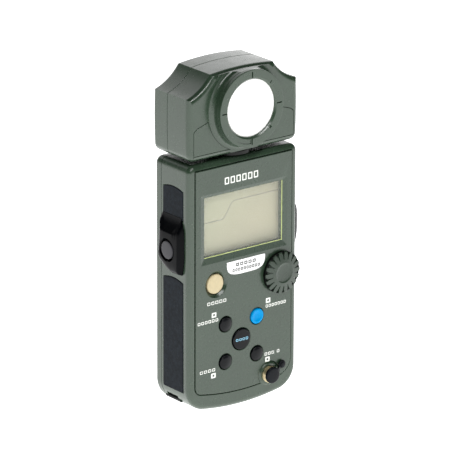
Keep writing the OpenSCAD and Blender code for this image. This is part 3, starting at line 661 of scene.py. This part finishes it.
def rear_shell():
    """Back half with its raised pad, battery bay, hinge slot, tripod hole, screw wells and slits."""
    o = loft(shell_rings(OUT, BODY_D, PART_T + SEAM)[::-1])
    cut(o, slab(grow(OUT, -WALL), PART_T - 2, BODY_D - WALL))
    add(o, slab(rect(-24, 24, 7, 104, 6), BODY_D - 1.5, BACK_T, 0, 1.2))
    cut(o, slab(rect(-17.2, 17.2, 12.8, 71), 20, 35))
    x, gap = COVER_X + COVER_GAP, COVER_GAP
    recess = rect(-x, x, HINGE_Z - HINGE_R - gap, COVER_Z1 + gap, 1.3)
    cut(o, pocket(recess, BACK_T, BACK_T - COVER_T - gap, 0.2))
    x = COVER_X + 1.1
    cut(o, slab(rect(-x, x, HINGE_Z - 0.6, HINGE_Z + 0.6, 0.5), BACK_T - COVER_T, BACK_T - 0.2))
    cut(o, pocket(circle(TRIPOD, TRIPOD_R), BACK_T, 22, 0.3))
    for place in CASE_SCREWS:
        cut(o, pocket(circle(place, SCREW_WELL_R, 48), BODY_D, BODY_D - SCREW_WELL_T, 0.25))
    for z in (111, 113.4, 115.8):
        cut(o, pocket(rect(-16, 16, z - 0.5, z + 0.5, 0.45), BODY_D, BODY_D - 0.45, 0.15))
    return o


piece(front_shell(), "case_front", "body", case, "case_green", "body_front_shell")
piece(rear_shell(), "case_rear", "body", case, "case_green", "body_rear_shell")

# Fascia
PRINT = 0.03  # thickness of printed marks


def power_cone():
    """Cutter for the cone-shaped recess round the power key."""
    rim = [(7.1, -3), (7.1, FACE), (6.95, FACE + 0.05), (6.8, FACE + 0.2)]
    foot = [(5.8, FACE + 1.2), (5.6, FACE + 1.5), (5.5, 3)]
    return turned(key_c["power_button"], [(0, -3)] + rim + foot + [(0, 3)])


def badge_outline(gap=0.0):
    """Straight top and a full, round-cornered lower edge."""
    half, h, full = 12.1 + gap, 7.4 + gap, 0.55
    a = np.radians(np.linspace(0, 180, 49))
    x = -half * np.sign(np.cos(a)) * np.abs(np.cos(a)) ** full
    return np.stack([1.2 + x, 78 + gap - (h + gap) * np.sin(a) ** full], 1)


def fascia():
    o = slab(panel_outline(), FACE, 1.5, 0.4)
    for name, (r, *_) in KEYS.items():
        if name != "power_button":
            cut(o, pocket(circle(key_c[name], r + 0.35, 64), FACE, 4, 0.45))
    cut(o, power_cone())
    outer = rect(-BEZEL[0], BEZEL[0], BEZEL[1], BEZEL[2], 0.8)
    inside = rect(-WIN[0], WIN[0], WIN[1], WIN[2], 0.5)
    rings = [front(outer, -3), front(outer, FACE), front(grow(outer, -0.12), FACE + 0.06)]
    cut(o, loft(rings + [front(inside, 0.35), front(inside, 4)]))
    cut(o, rod(dial_c, 3.6, -3, 3, 48))
    cut(o, pocket(circle(sync_c, 6.75, 96), FACE, 4, 0.25))
    cut(o, rod(peg_c, 0.95, -3, 3, 32))
    return cut(o, slab(badge_outline(0.08), -2, 0.2))


piece(fascia(), "fascia", "body", panel, "panel_green", "front_panel")
BADGE_T = FACE - 0.12
piece(slab(badge_outline(), BADGE_T, 0.15, 0.08), "badge", "body", badge_mat, "badge_white", "model_badge")

# Window, display, its trace line, and a painted highlight along the lens's edge
gap = 0.08  # round the window
lens = slab(rect(-WIN[0] + gap, WIN[0] - gap, WIN[1] + gap, WIN[2] - gap, 0.4), 0.42, 1.6, 0.12)
piece(lens, "display_lens", "body", lens_material(), "window_clear", "display_window")
# Bright yellow-green strips just behind the lens's right and bottom edges: a painted highlight of the lens edge
# catching the light
wall_x, wall_z = WIN[0] - 0.05, WIN[1] + 0.05
edge = [block(wall_x - 0.34, wall_x, 0.33, 0.41, wall_z, WIN[2] - 0.05)]
edge.append(block(-wall_x, wall_x - 0.36, 0.33, 0.41, wall_z, wall_z + 0.3))
piece(joined(edge), "display_lens_glint", "body", lens_glint_mat, "window_clear")
LCD_T = 4.2
lcd = slab(rect(-26, 26, 82.2, 115.8, 0.3), LCD_T, LCD_T + 1.0, 0.1)
piece(lcd, "display_glass", "body", lcd_material(), "lcd_glass", "lcd_panel")
dress("lcd_frame", mask_mat)
trace_corners = [(-25.9, 99.5, 0), (-9.4, 99.5, 3.0), (-4.0, 108.1, 4.0), (25.9, 108.1, 0)]


def ribbon(line, width, t0, t1):
    """Flat strip along an open (x, z) line."""
    d = np.gradient(line, axis=0)
    d /= np.linalg.norm(d, axis=1)[:, None]
    n = np.stack([-d[:, 1], d[:, 0]], 1) * width / 2
    a, b = line + n, line - n
    corners = np.stack([front(a, t0), front(b, t0), front(b, t1), front(a, t1)], 1)
    return loft(list(corners))


trace = ribbon(soft(trace_corners, closed=False, per=14), 0.32, LCD_T - 0.06, LCD_T - 0.01)
piece(trace, "display_trace", "body", trace_mat, "lcd_black")

# Printed marks: plain blocks and dotted squares


def block_row(x0, x1, z0, z1, count, stroke=0.36, at=FACE, thick=PRINT):
    """Row of plain open boxes printed on a face."""
    pitch = (x1 - x0) / count
    row = []
    for i in range(count):
        a, b = x0 + i * pitch, x0 + (i + 0.74) * pitch
        box = slab(rect(a, b, z0, z1, 0.3), at - thick, at + 0.05)
        hole = rect(a + stroke, b - stroke, z0 + stroke, z1 - stroke, 0.1)
        row.append(cut(box, slab(hole, at - 1, at + 1)))
    return row


def dotted_square(x0, z0, w=2.9, h=2.6):
    c = (x0 + w / 2, z0 + h / 2)
    square = slab(rect(x0, x0 + w, z0, z0 + h, 0.35), FACE - PRINT, FACE + 0.05)
    return cut(square, slab(circle(c, 0.62, 24), FACE - 1, FACE + 1))


marks = []
for row in (
    (-12.4, 9.6, 119.2, 122.8, 6, 0.62),
    (-23.2, -10.6, 57.7, 59.4, 5),
    (14.0, 27.4, 48.8, 50.4, 7),
    (-29.2, -15.8, 48.4, 50.0, 6),
    (-27.8, -17.5, 22.2, 23.8, 4),
    (13.5, 20.2, 23.1, 24.7, 3),
    (21.4, 23.6, 23.1, 24.7, 1),
):
    marks += block_row(*row)
for x, z in ((14.1, 51.2), (-20.4, 50.8), (-20.7, 18.6), (13.9, 19.6)):
    marks.append(dotted_square(x, z))
piece(joined(marks), "printed_marks", "body", print_white, "panel_green")
badge_rows = block_row(-5.2, 8.0, 75.0, 76.7, 5, 0.52, BADGE_T)
badge_rows += block_row(-7.4, 10.4, 72.3, 73.9, 10, 0.42, BADGE_T)
piece(joined(badge_rows), "badge_marks", "body", print_dark, "badge_white")

# ---------------------------------------------------------------- side pads, housings and buttons

for where, (low, high) in PADS.items():
    for side in ("left", "right"):
        o = slab(pad_outline(low, high, -0.05), 0.05 - PAD_T, 0.22, 0, 0.3, at=left)
        name = f"grip_pad_{side}_{where}"
        piece(mirrored(o) if side == "right" else o, name + "_rubber", "body", rubber, "grip_rubber", name)

LAND = 0.35  # height of the thin rim round a button housing
HOUSING_TOP = 104.6


def housing_footprint():
    """Lens-shaped footprint in (t, z): bowed front edge, straight back, rounded below."""
    below = [(4.9, 74.6, 1.0), (12.4, 74.5, 5.5), (22.3, 80.6, 6.0)]
    above = [(22.4, 101.2, 1.2), (20.8, HOUSING_TOP, 1.0), (5.6, HOUSING_TOP, 0.8)]
    return soft(below + above + [(3.5, 97.0, 30.0), (3.5, 82.0, 30.0)], per=16)


def edge_distance(points, line):
    """Distance of each point from a closed line."""
    best = np.full(len(points), 1e9)
    for a, b in zip(line, np.roll(line, -1, 0)):
        d = b - a
        k = np.clip(((points - a) @ d) / max(d @ d, 1e-12), 0, 1)
        best = np.minimum(best, np.linalg.norm(points - a - k[:, None] * d, axis=1))
    return best


def smin(a, b, k):
    """Lower of two heights, blended over k where they meet."""
    h = np.clip(0.5 + 0.5 * (b - a) / k, 0, 1)
    return b * (1 - h) + a * h - k * h * (1 - h)


def housing_height(p, line):
    """Height of the housing over the side at (t, z)."""
    t, z = p[:, 0], p[:, 1]
    crown = 4.05 - 0.0035 * (z - 88) ** 2 - 0.004 * (t - 12.5) ** 2
    edge_t = np.interp(z, [74, 82, 90, 97, 105], [4.7, 3.1, 2.95, 3.3, 5.6])
    front_wall = LAND + 1.9 * (t - edge_t)
    rear_wall = LAND + 1.7 * np.clip(22.4 - t, 0, 9)
    rise = np.clip((z - 74.4 - 0.035 * (t - 9) ** 2) / 7.5, 0, 1)
    foot = 0.3 + 4.2 * np.sqrt(np.clip(1 - (1 - rise) ** 2, 0, 1))
    scoop = 0.9 * np.exp(-((t - 12.8) / 5.0) ** 2) * np.exp(-((z - 98.5) / 4.0) ** 2)
    ramp = LAND + 3.9 * np.clip((HOUSING_TOP - z) / 8.6, 0, 3) ** 1.7 - scoop
    h = smin(crown, front_wall, 0.35)
    h = smin(h, rear_wall, 0.8)
    h = smin(h, foot, 0.9)
    h = smin(h, ramp, 0.35)
    return np.maximum(smin(h, LAND + 2.4 * edge_distance(p, line), 0.3), 0.05)


def housing():
    line = housing_footprint()
    c = np.array([12.8, 88.5])
    rings = [left(line, -0.4), left(line, 0.0)]
    for share in np.concatenate([np.linspace(1, 0.72, 30), np.linspace(0.71, 0.02, 46)]):
        p = c + (line - c) * share
        rings.append(np.stack([-SIDE - housing_height(p, line), FRONT + p[:, 0], p[:, 1]], 1))
    well = ((7.0, 6.0), (6.4, 4.2), (6.0, 3.75), (5.35, 2.9), (5.2, 2.4), (5.2, 0.6))
    return cut(loft(rings), loft([left(circle(SIDE_BUTTON, r, 72), h) for r, h in well]))


def side_button():
    """Domed button on a stem, whose flange stays clear of the shell when it is pressed."""
    stem = [(0, -3), (2.0, -3), (2.0, 1.35), (4.7, 1.45)]
    profile = stem + [(4.7, 3.2), (4.62, 3.45), (4.4, 3.62), (4.0, 3.7), (2.0, 3.78), (0, 3.8)]
    return loft([left(circle(SIDE_BUTTON, max(r, 1e-5), 72), h) for r, h in profile])


for node, flip in (("measure", False), ("memory", True)):
    o, b = housing(), side_button()
    if flip:
        o, b = mirrored(o), mirrored(b)
    part = node + "_button_housing"
    piece(o, node + "_housing", "body", housing_mat, "housing_black", part, smooth=40)
    piece(b, node + "_side_button", node + "_button", side_mat, "side_button_grey", node + "_button")

# ---------------------------------------------------------------- front keys, dial, sync terminal


def key(c, r, out, dome, dish=False):
    """Round key with a rolled edge and a lightly domed top, or a dished one."""
    roll = 0.55
    top, level_t = r - roll, dome - out
    profile = [(0, 4.1), (r + 0.9, 4.1), (r + 0.9, 3.35), (r, 3.3)]
    profile += [(r - roll * (1 - math.cos(a)), level_t + roll * (1 - math.sin(a))) for a in quarter(6)]
    if dish:
        profile += [(top - 0.25, level_t - 0.05), (top - 0.7, level_t), (top - 1.2, level_t + 0.3)]
        profile += [(top * 0.35, level_t + 0.45), (0, level_t + 0.48)]
    else:
        profile += [(top * k, dome * k * k - out) for k in (0.9, 0.75, 0.5, 0.25, 0)]
    return turned(c, profile, n=80)


for name, (r, out, dome, mat, slot) in KEYS.items():
    o = key(key_c[name], r, out, dome, name == "display_button")
    piece(o, name.replace("_button", "_key"), name, mat, slot, name)
kx, kz = key_c["menu_button"]
menu_mark = joined(block_row(kx - 3.9, kx + 4.3, kz - 0.65, kz + 0.65, 4, 0.3, -1.17))
piece(menu_mark, "menu_key_mark", "menu_button", print_blue, "key_black")


def dial_flute(angle):
    """Cutter for a radial flute, which widens and deepens towards the rim."""
    u, v = np.array([math.cos(angle), math.sin(angle)]), np.array([-math.sin(angle), math.cos(angle)])
    sweep = np.radians([-90, -60, -30, 0, 30, 60, 90])
    over = -5.0  # level above the dial
    stations = ((12.6, 1.2, -0.6), (11.2, 1.1, -1.2), (10.2, 0.85, -1.9), (9.2, 0.45, -2.7), (7.0, 0.25, -3.6))
    rings = []
    for along, half, deep in stations:
        c = dial_c + u * along
        line = [(c + v * half * math.sin(b), deep - 0.5 * half * (math.cos(b) - 1)) for b in sweep]
        line = [(line[0][0], over)] + line + [(line[-1][0], over)]
        rings.append(np.array([(p[0], FRONT + t, p[1]) for p, t in line]))
    return loft(rings)


def dial():
    """Jog dial: cone top with radial flutes that open at the rim, and a dished centre."""
    r, flutes = 11.0, 18
    stem = [(0, 8), (2.0, 8), (2.0, -2.25)]
    rim = [(r - 0.1, -2.25), (r, -2.35), (r, -2.65), (r - 0.1, -2.85), (r - 0.4, -3.05)]
    lip = [(5.6, -4.05), (5.35, -4.12), (5.1, -4.08), (4.9, -3.95)]
    dish = [(4.4, -3.8), (3.0, -3.66), (1.5, -3.6), (0, -3.58)]
    o = turned(dial_c, stem + rim + lip + dish, n=144)
    for k in range(flutes):
        cut(o, dial_flute(2 * PI * (k + 0.5) / flutes))
    return o


piece(dial(), "jog_dial_wheel", "jog_dial", dial_mat, "dial_green", "jog_dial", smooth=28)
# Near-black disc under the dial's rim: painted shade in the gap under the dial and on its side wall
underside_shade = turned(dial_c, [(0, -0.6), (10.6, -0.6), (10.9, -0.85), (10.9, -2.3), (0, -2.3)], n=144)
piece(underside_shade, "jog_dial_underside_shade", "jog_dial", underside_shade_mat, "dial_green")

BARREL_R = 4.4
profile = [(BARREL_R, -0.7), (BARREL_R, -2.55), (4.3, -2.72), (4.1, -2.8), (2.8, -2.8), (2.6, -2.6)]
barrel = ring(sync_c, profile + [(2.6, 6), (3.5, 6), (3.5, -0.7)])
for t in (-1.1, -1.5, -1.9, -2.3):
    cut(barrel, ring(sync_c, [(BARREL_R - 0.15, t), (BARREL_R + 0.1, t - 0.14), (BARREL_R + 0.1, t + 0.14)]))
piece(barrel, "sync_barrel", "body", gold, "terminal_gold", "sync_terminal")
profile = [(0, 0.8), (2.4, 0.8), (2.4, -2.85), (4.25, -2.85), (4.25, -3.6), (4.18, -3.9)]
cap = turned(sync_c, profile + [(3.95, -4.12), (3.4, -4.25), (2.0, -4.33), (0, -4.36)])
piece(cap, "sync_cap_rubber", "sync_cap", cap_mat, "cap_rubber", "sync_cap")


def strap():
    """Flat strap from the cap's rim to a ring round the peg."""
    start, end = 4.1, 1.3  # distances from the cap's and the peg's centres
    thick, chamfer = 0.5, 0.15
    d = peg_c - sync_c
    far = np.linalg.norm(d)
    u, v = d / far, np.array([-d[1], d[0]]) / far
    rings = []
    for s in np.linspace(0, 1, 25):
        t = -3.2 + 1.75 * (s * s * (3 - 2 * s))
        half = 1.15 - 0.35 * math.sin(PI * s)
        c = sync_c + u * (start + (far - start - end) * s)
        flat = half - chamfer
        inner_half = [(-half, thick - chamfer), (-flat, thick), (flat, thick), (half, thick - chamfer)]
        section = inner_half + [(-w, -h) for w, h in inner_half]
        rings.append(np.array([(c[0] + v[0] * w, FRONT + t + h, c[1] + v[1] * w) for w, h in section]))
    turns = np.linspace(0, 2 * PI, 16, endpoint=False)
    loop = [(1.0 + 0.6 * (1 + math.cos(a)), -1.45 + 0.55 * math.sin(a)) for a in turns]
    return add(loft(rings), ring(peg_c, loop, n=48))


strap_piece = finish(strap(), "sync_strap", cap_mat, 35)
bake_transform(strap_piece)
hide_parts("sync_cap_strap")
profile = [(0, 3.5), (0.88, 3.5), (0.88, -1.9), (1.35, -1.95), (1.4, -2.1), (1.25, -2.35)]
peg = turned(peg_c, profile + [(0.8, -2.5), (0, -2.55)], n=48)
piece(peg, "strap_peg_rubber", "body", cap_mat, "cap_rubber", "strap_peg")

# ---------------------------------------------------------------- back: cover, tripod insert, screws


def hinge_bar(r, half):
    """Round bar along x on the battery cover's hinge line."""
    a = np.linspace(0, 2 * PI, 24, endpoint=False)
    y, z = FRONT + BACK_T - HINGE_R + r * np.cos(a), HINGE_Z + r * np.sin(a)
    return loft([np.stack([np.full(24, x), y, z], 1) for x in (-half, half)])


cover = slab(rect(-COVER_X, COVER_X, COVER_Z0, COVER_Z1, 1.2), BACK_T - COVER_T, BACK_T, 0, 0.3)
add(cover, hinge_bar(HINGE_R, COVER_X))
add(cover, slab(rect(-COVER_X, COVER_X, HINGE_Z, 15), BACK_T - COVER_T, BACK_T))
add(cover, hinge_bar(PIVOT_R, COVER_X + 1))
for k in range(5):
    z, w = 64.0 + k * 1.5, 8.5 - 0.9 * abs(k - 2)
    cut(cover, pocket(rect(-w, w, z - 0.32, z + 0.32, 0.3), BACK_T, BACK_T - 0.55, 0.15))
piece(cover, "battery_door", "battery_cover", case, "case_green", "battery_cover")


def behind(profile, c=TRIPOD, back=BACK_T):
    """Turned solid whose levels count from a back face."""
    return turned(c, [(r, back + t) for r, t in profile])


insert = behind([(0, -9), (5.0, -9), (5.0, -6.5), (5.98, -6.5), (5.98, -0.3), (5.7, -0.02), (0, -0.02)])
cut(insert, behind([(0, -7), (3.18, -7), (3.18, -0.6), (3.8, 0.1), (3.8, 1), (0, 1)]))
for k in range(5):
    t = BACK_T - 6.2 + k * 1.2
    cut(insert, ring(TRIPOD, [(3.1, t - 0.5), (3.62, t), (3.1, t + 0.5)]))
piece(insert, "tripod_insert", "body", insert_mat, "insert_steel", "tripod_socket")


def screws(places, back, depth=9):
    """Cross-slot screws, from a depth up to just under a back face."""
    out = []
    for x, z in places:
        shank = [(0, depth), (1.05, depth), (1.05, back - 2.3)]
        top = [(2.08, back - 2.3), (2.08, back - 1.2), (1.9, back - 0.9), (1.2, back - 0.7), (0, back - 0.62)]
        o = turned((x, z), shank + top, n=48)
        for w, h in ((1.25, 0.26), (0.26, 1.25)):
            wide = rect(x - w, x + w, z - h, z + h)
            narrow = rect(x - w * 0.8, x + w * 0.8, z - h * 0.8, z + h * 0.8)
            o = cut(o, loft([front(wide, back), front(narrow, back - 1.35)]))
        out.append(o)
    return joined(out)


piece(screws(CASE_SCREWS, BODY_D), "case_screw_set", "body", black_steel, "screw_steel", "case_screws")
piece(screws(HEAD_SCREWS, HEAD_D), "head_screw_set", "head", black_steel, "screw_steel", "head_screws")

# ---------------------------------------------------------------- head

HEAD = head_outline()
BOSS_R, BOSS_OUT, FLARE = 20.0, 4.3, 2.6
EYE_HOLE_R = 15.4
SPINDLE_HOLE_R = 7.1


def boss():
    """Round boss that flares into the head's face, kept inside the head's outline."""
    profile = [(0, 2.5), (24.2, 2.5), (24.2, 0.0)]
    profile += [(BOSS_R + FLARE * (1 - math.sin(a)), -FLARE * (1 - math.cos(a))) for a in quarter(8)]
    profile += [(BOSS_R, 0.3 - BOSS_OUT), (19.93, -4.22), (19.7, -BOSS_OUT), (0, -BOSS_OUT)]
    return combine(turned(EYE, profile, n=144), slab(grow(HEAD, -0.9), -6, 4), "INTERSECT")


def spindle_hole():
    return slab(circle((0, 0), SPINDLE_HOLE_R, 64), HEAD_Z - 1, HEAD_Z + 3.5, at=level)


def cheek_seam():
    """Cutter that takes the cheek cover's seam round the head's lower front edge."""
    c, out = (EDGE, HEAD_Z + EDGE), -3.0
    seam = ring(c, [(2.7, out), (4.2, out), (4.2, out - 0.22), (2.7, out - 0.22)], at=left, n=64)
    return combine(seam, block(-40, 40, -2, EDGE - 0.5, HEAD_Z - 2, HEAD_Z + EDGE), "INTERSECT")


def head_front():
    o = bevel(loft(shell_rings(HEAD, 0, HEAD_PART_T - SEAM)), 0.5, 34)
    add(o, boss())
    cut(o, slab(grow(HEAD, -WALL), CORE_T, HEAD_PART_T + 2))
    cut(o, rod(EYE, EYE_HOLE_R, -8, THROUGH))
    cut(o, cut(pocket(cheek_outline(0.2), 0, 1.3, 0.15), rod(EYE, 22.7, -8, THROUGH)))
    cut(o, cheek_seam(), mirrored(cheek_seam()))
    return cut(o, spindle_hole())


def head_rear():
    o = bevel(loft(shell_rings(HEAD, HEAD_D, HEAD_PART_T + SEAM)[::-1]), 0.5, 34)
    cut(o, slab(grow(HEAD, -WALL), HEAD_PART_T - 2, HEAD_D - WALL))
    cut(o, spindle_hole())
    for place in HEAD_SCREWS:
        cut(o, pocket(circle(place, SCREW_WELL_R, 48), HEAD_D, HEAD_D - SCREW_WELL_T, 0.25))
    return o


piece(head_front(), "head_front", "head", case, "case_green", "head_front_shell")
cheeks = cut(slab(cheek_outline(), 0, 1.2, 0.15), rod(EYE, 22.85, -8, THROUGH))
piece(cheeks, "head_cheeks", "head", case, "case_green", "head_cheek_covers")
piece(head_rear(), "head_rear", "head", case, "case_green", "head_rear_shell")

R_OUT, R_IN, R_T = 19.9, 14.75, -6.4  # receptor ring: outer and inner radius, level of its face


def ring_groove(angle, half, r0, r1, deep):
    """Radial groove in the ring's face, with sloped sides."""
    a = math.radians(angle)
    u, v = np.array([math.cos(a), math.sin(a)]), np.array([-math.sin(a), math.cos(a)])
    mouth, bottom = (
        np.array([np.array(EYE) + u * r + v * w for r, w in ((r0, -wide), (r1, -wide), (r1, wide), (r0, wide))])
        for wide in (half * 1.6, half * 0.6)
    )
    return loft([front(mouth, R_T - 0.2), front(bottom, R_T + deep)])


def receptor_ring():
    """Ring with bevelled inner edge, engraved marks and a sunk arc at its lower left."""
    foot, seat = -4.32, 15.38
    outside = [(R_OUT, foot), (R_OUT, R_T + 0.35), (R_OUT - 0.1, R_T + 0.12), (R_OUT - 0.35, R_T)]
    inside = [(R_IN + 1.0, R_T), (R_IN + 0.85, R_T + 0.05), (R_IN + 0.1, R_T + 0.75), (R_IN, R_T + 0.95)]
    o = ring(EYE, outside + inside + [(R_IN, R_T + 1.5), (seat, R_T + 1.5), (seat, foot)], n=144)
    for angle in (0, 90, 180, 270):
        cut(o, ring_groove(angle, 0.25, R_IN + 0.9, R_OUT - 1.2, 0.9))
    cut(o, ring_groove(45, 0.2, R_IN + 0.9, R_IN + 2.6, 0.7))
    cut(o, ring_groove(-45, 0.5, R_IN + 0.2, R_IN + 2.2, 0.55))
    a0, a1 = 238, 268
    sunk_arc = np.concatenate([arc(EYE, 18.1, a0, a1, 16), arc(EYE, 15.95, a1, a0, 16)])
    return cut(o, pocket(sunk_arc, R_T, R_T + 0.35, 0.1))


piece(receptor_ring(), "receptor_ring_cover", "head", case, "case_green", "receptor_ring")
crown = [(15.3, 1.55), (14.6, 1.5), (10, 1.36), (5, 1.28), (0, 1.25)]
disc = turned(EYE, [(0, -3.4), (15.3, -3.4)] + [(r, R_T + t) for r, t in crown], n=120)
piece(disc, "diffuser", "head", white_disc, "diffuser_white", "diffuser_disc")

dress("swivel_spindle", spindle_mat)
dress("strap_bar", bar_mat)

# ---------------------------------------------------------------- floor, light, camera


FLOOR_HALF = 4000
FLOOR_LEVEL = 1.45  # the whole floor's glow
FLOOR_GLOW, FLOOR_GLOW_RIGHT = 0.3, 0.12  # extra near the meter, on its left and on its right
BACKDROP, AMBIENT, HORIZON = 2.2, 0.02, 0.9
TARGET = Vector((-0.01186, -0.0126, 0.098))  # point that the camera and the soft boxes face
AZIMUTH, ELEVATION, ROLL = math.radians(-38.04), math.radians(18.60), math.radians(0.18)
DISTANCE = 2.05255


def smooth_range(nt, socket, values):
    """Smooth ramp of a value: from low, from high, to low, to high."""
    n = nt.nodes.new("ShaderNodeMapRange")
    n.interpolation_type = "SMOOTHSTEP"
    nt.links.new(socket, n.inputs[0])
    for i, v in enumerate(values):
        n.inputs[i + 1].default_value = v
    return n.outputs[0]


def floor():
    """White floor that glows a little more round the meter's left side."""
    f = FLOOR_HALF
    o = solid([(-f, -f, 0), (f, -f, 0), (f, f, 0), (-f, f, 0)], [(0, 1, 2, 3)])
    o.name = "floor"
    o.data.transform(Matrix.Scale(MM, 4))
    m = bpy.data.materials.new("floor_white")
    m.use_nodes = True
    nt = m.node_tree
    sh = nt.nodes["Principled BSDF"]
    sh.inputs["Roughness"].default_value = 0.7
    sh.inputs["Specular IOR Level"].default_value = 0.1
    sh.inputs["Emission Color"].default_value = (1, 1, 1, 1)
    new, link = nt.nodes.new, nt.links.new
    where, sep = new("ShaderNodeTexCoord"), new("ShaderNodeSeparateXYZ")
    reach, glow = new("ShaderNodeVectorMath"), new("ShaderNodeMath")
    link(where.outputs["Object"], sep.inputs[0])
    reach.operation = "LENGTH"
    link(where.outputs["Object"], reach.inputs[0])
    glow.operation = "MULTIPLY_ADD"
    link(smooth_range(nt, reach.outputs["Value"], (0.15, 0.5, 1.0, 0.0)), glow.inputs[0])
    link(smooth_range(nt, sep.outputs["X"], (-0.08, 0.1, FLOOR_GLOW, FLOOR_GLOW_RIGHT)), glow.inputs[1])
    glow.inputs[2].default_value = FLOOR_LEVEL
    link(glow.outputs[0], sh.inputs["Emission Strength"])
    mottle, tone = new("ShaderNodeTexNoise"), new("ShaderNodeMapRange")
    mottle.inputs["Scale"].default_value = 3.0
    link(where.outputs["Object"], mottle.inputs["Vector"])
    link(mottle.outputs["Fac"], tone.inputs[0])
    tone.inputs[3].default_value, tone.inputs[4].default_value = 0.93, 0.95
    link(tone.outputs[0], sh.inputs["Base Color"])
    o.data.materials.append(m)


def world():
    """Studio surroundings: a bright low backdrop behind and to the right, a thin white horizon, else dark."""
    w = bpy.data.worlds.new("studio")
    bpy.context.scene.world = w
    w.use_nodes = True
    nt = w.node_tree
    nt.nodes.clear()
    new, link = nt.nodes.new, nt.links.new
    co, sep = new("ShaderNodeTexCoord"), new("ShaderNodeSeparateXYZ")
    link(co.outputs["Generated"], sep.inputs[0])

    def math_node(op, a, b):
        n = new("ShaderNodeMath")
        n.operation = op
        for socket, value in zip(n.inputs, (a, b)):
            if isinstance(value, bpy.types.NodeSocket):
                link(value, socket)
            else:
                socket.default_value = value
        return n.outputs[0]

    rear = smooth_range(nt, sep.outputs["Y"], (0.25, 0.6, 0.0, 1.0))
    low = smooth_range(nt, sep.outputs["Z"], (0.55, 0.85, 1.0, 0.0))
    side = smooth_range(nt, sep.outputs["X"], (-0.45, -0.05, 0.1, 1.0))
    glow = math_node("MULTIPLY", math_node("MULTIPLY", math_node("MULTIPLY", rear, low), side), BACKDROP)
    horizon = smooth_range(nt, sep.outputs["Z"], (0.05, 0.11, HORIZON, 0.0))
    total = math_node("ADD", math_node("ADD", glow, AMBIENT), horizon)
    bg, out = new("ShaderNodeBackground"), new("ShaderNodeOutputWorld")
    link(total, bg.inputs["Strength"])
    link(bg.outputs[0], out.inputs[0])


def area(name, direction, distance, width, height, power, along=(1, 0, 0)):
    """Soft box that faces the meter; its width lies along a direction."""
    light = bpy.data.lights.new(name, "AREA")
    light.energy, light.shape, light.size, light.size_y = power, "RECTANGLE", width, height
    o = bpy.data.objects.new(name, light)
    z = Vector(direction).normalized()
    y = z.cross(Vector(along)).normalized()
    x = y.cross(z)
    o.matrix_world = Matrix((x, y, z)).transposed().to_4x4()
    o.location = TARGET + z * distance
    bpy.context.scene.collection.objects.link(o)


def view():
    """Camera on the TARGET, with a long lens."""
    flat = math.cos(ELEVATION)
    back = Vector((math.sin(AZIMUTH) * flat, -math.cos(AZIMUTH) * flat, math.sin(ELEVATION)))
    right = Vector((math.cos(AZIMUTH), math.sin(AZIMUTH), 0))
    up = back.cross(right)
    right, up = right * math.cos(ROLL) + up * math.sin(ROLL), up * math.cos(ROLL) - right * math.sin(ROLL)
    data = bpy.data.cameras.new("camera")
    data.lens, data.sensor_width = 330.78, 36.0
    data.clip_start, data.clip_end = 0.1, 50
    camera = bpy.data.objects.new("camera", data)
    camera.matrix_world = Matrix((right, up, back)).transposed().to_4x4()
    camera.location = TARGET + back * DISTANCE
    bpy.context.scene.collection.objects.link(camera)
    bpy.context.scene.camera = camera
    bpy.context.scene.view_settings.view_transform = "Standard"


floor()
world()
area("key", (-0.12, -0.57, 0.74), 1.4, 1.1, 0.18, 11, along=(0.645, 0.16, 0.24))
area("front", (-0.12, -0.98, 0.14), 1.7, 1.0, 1.0, 1.5)
view()
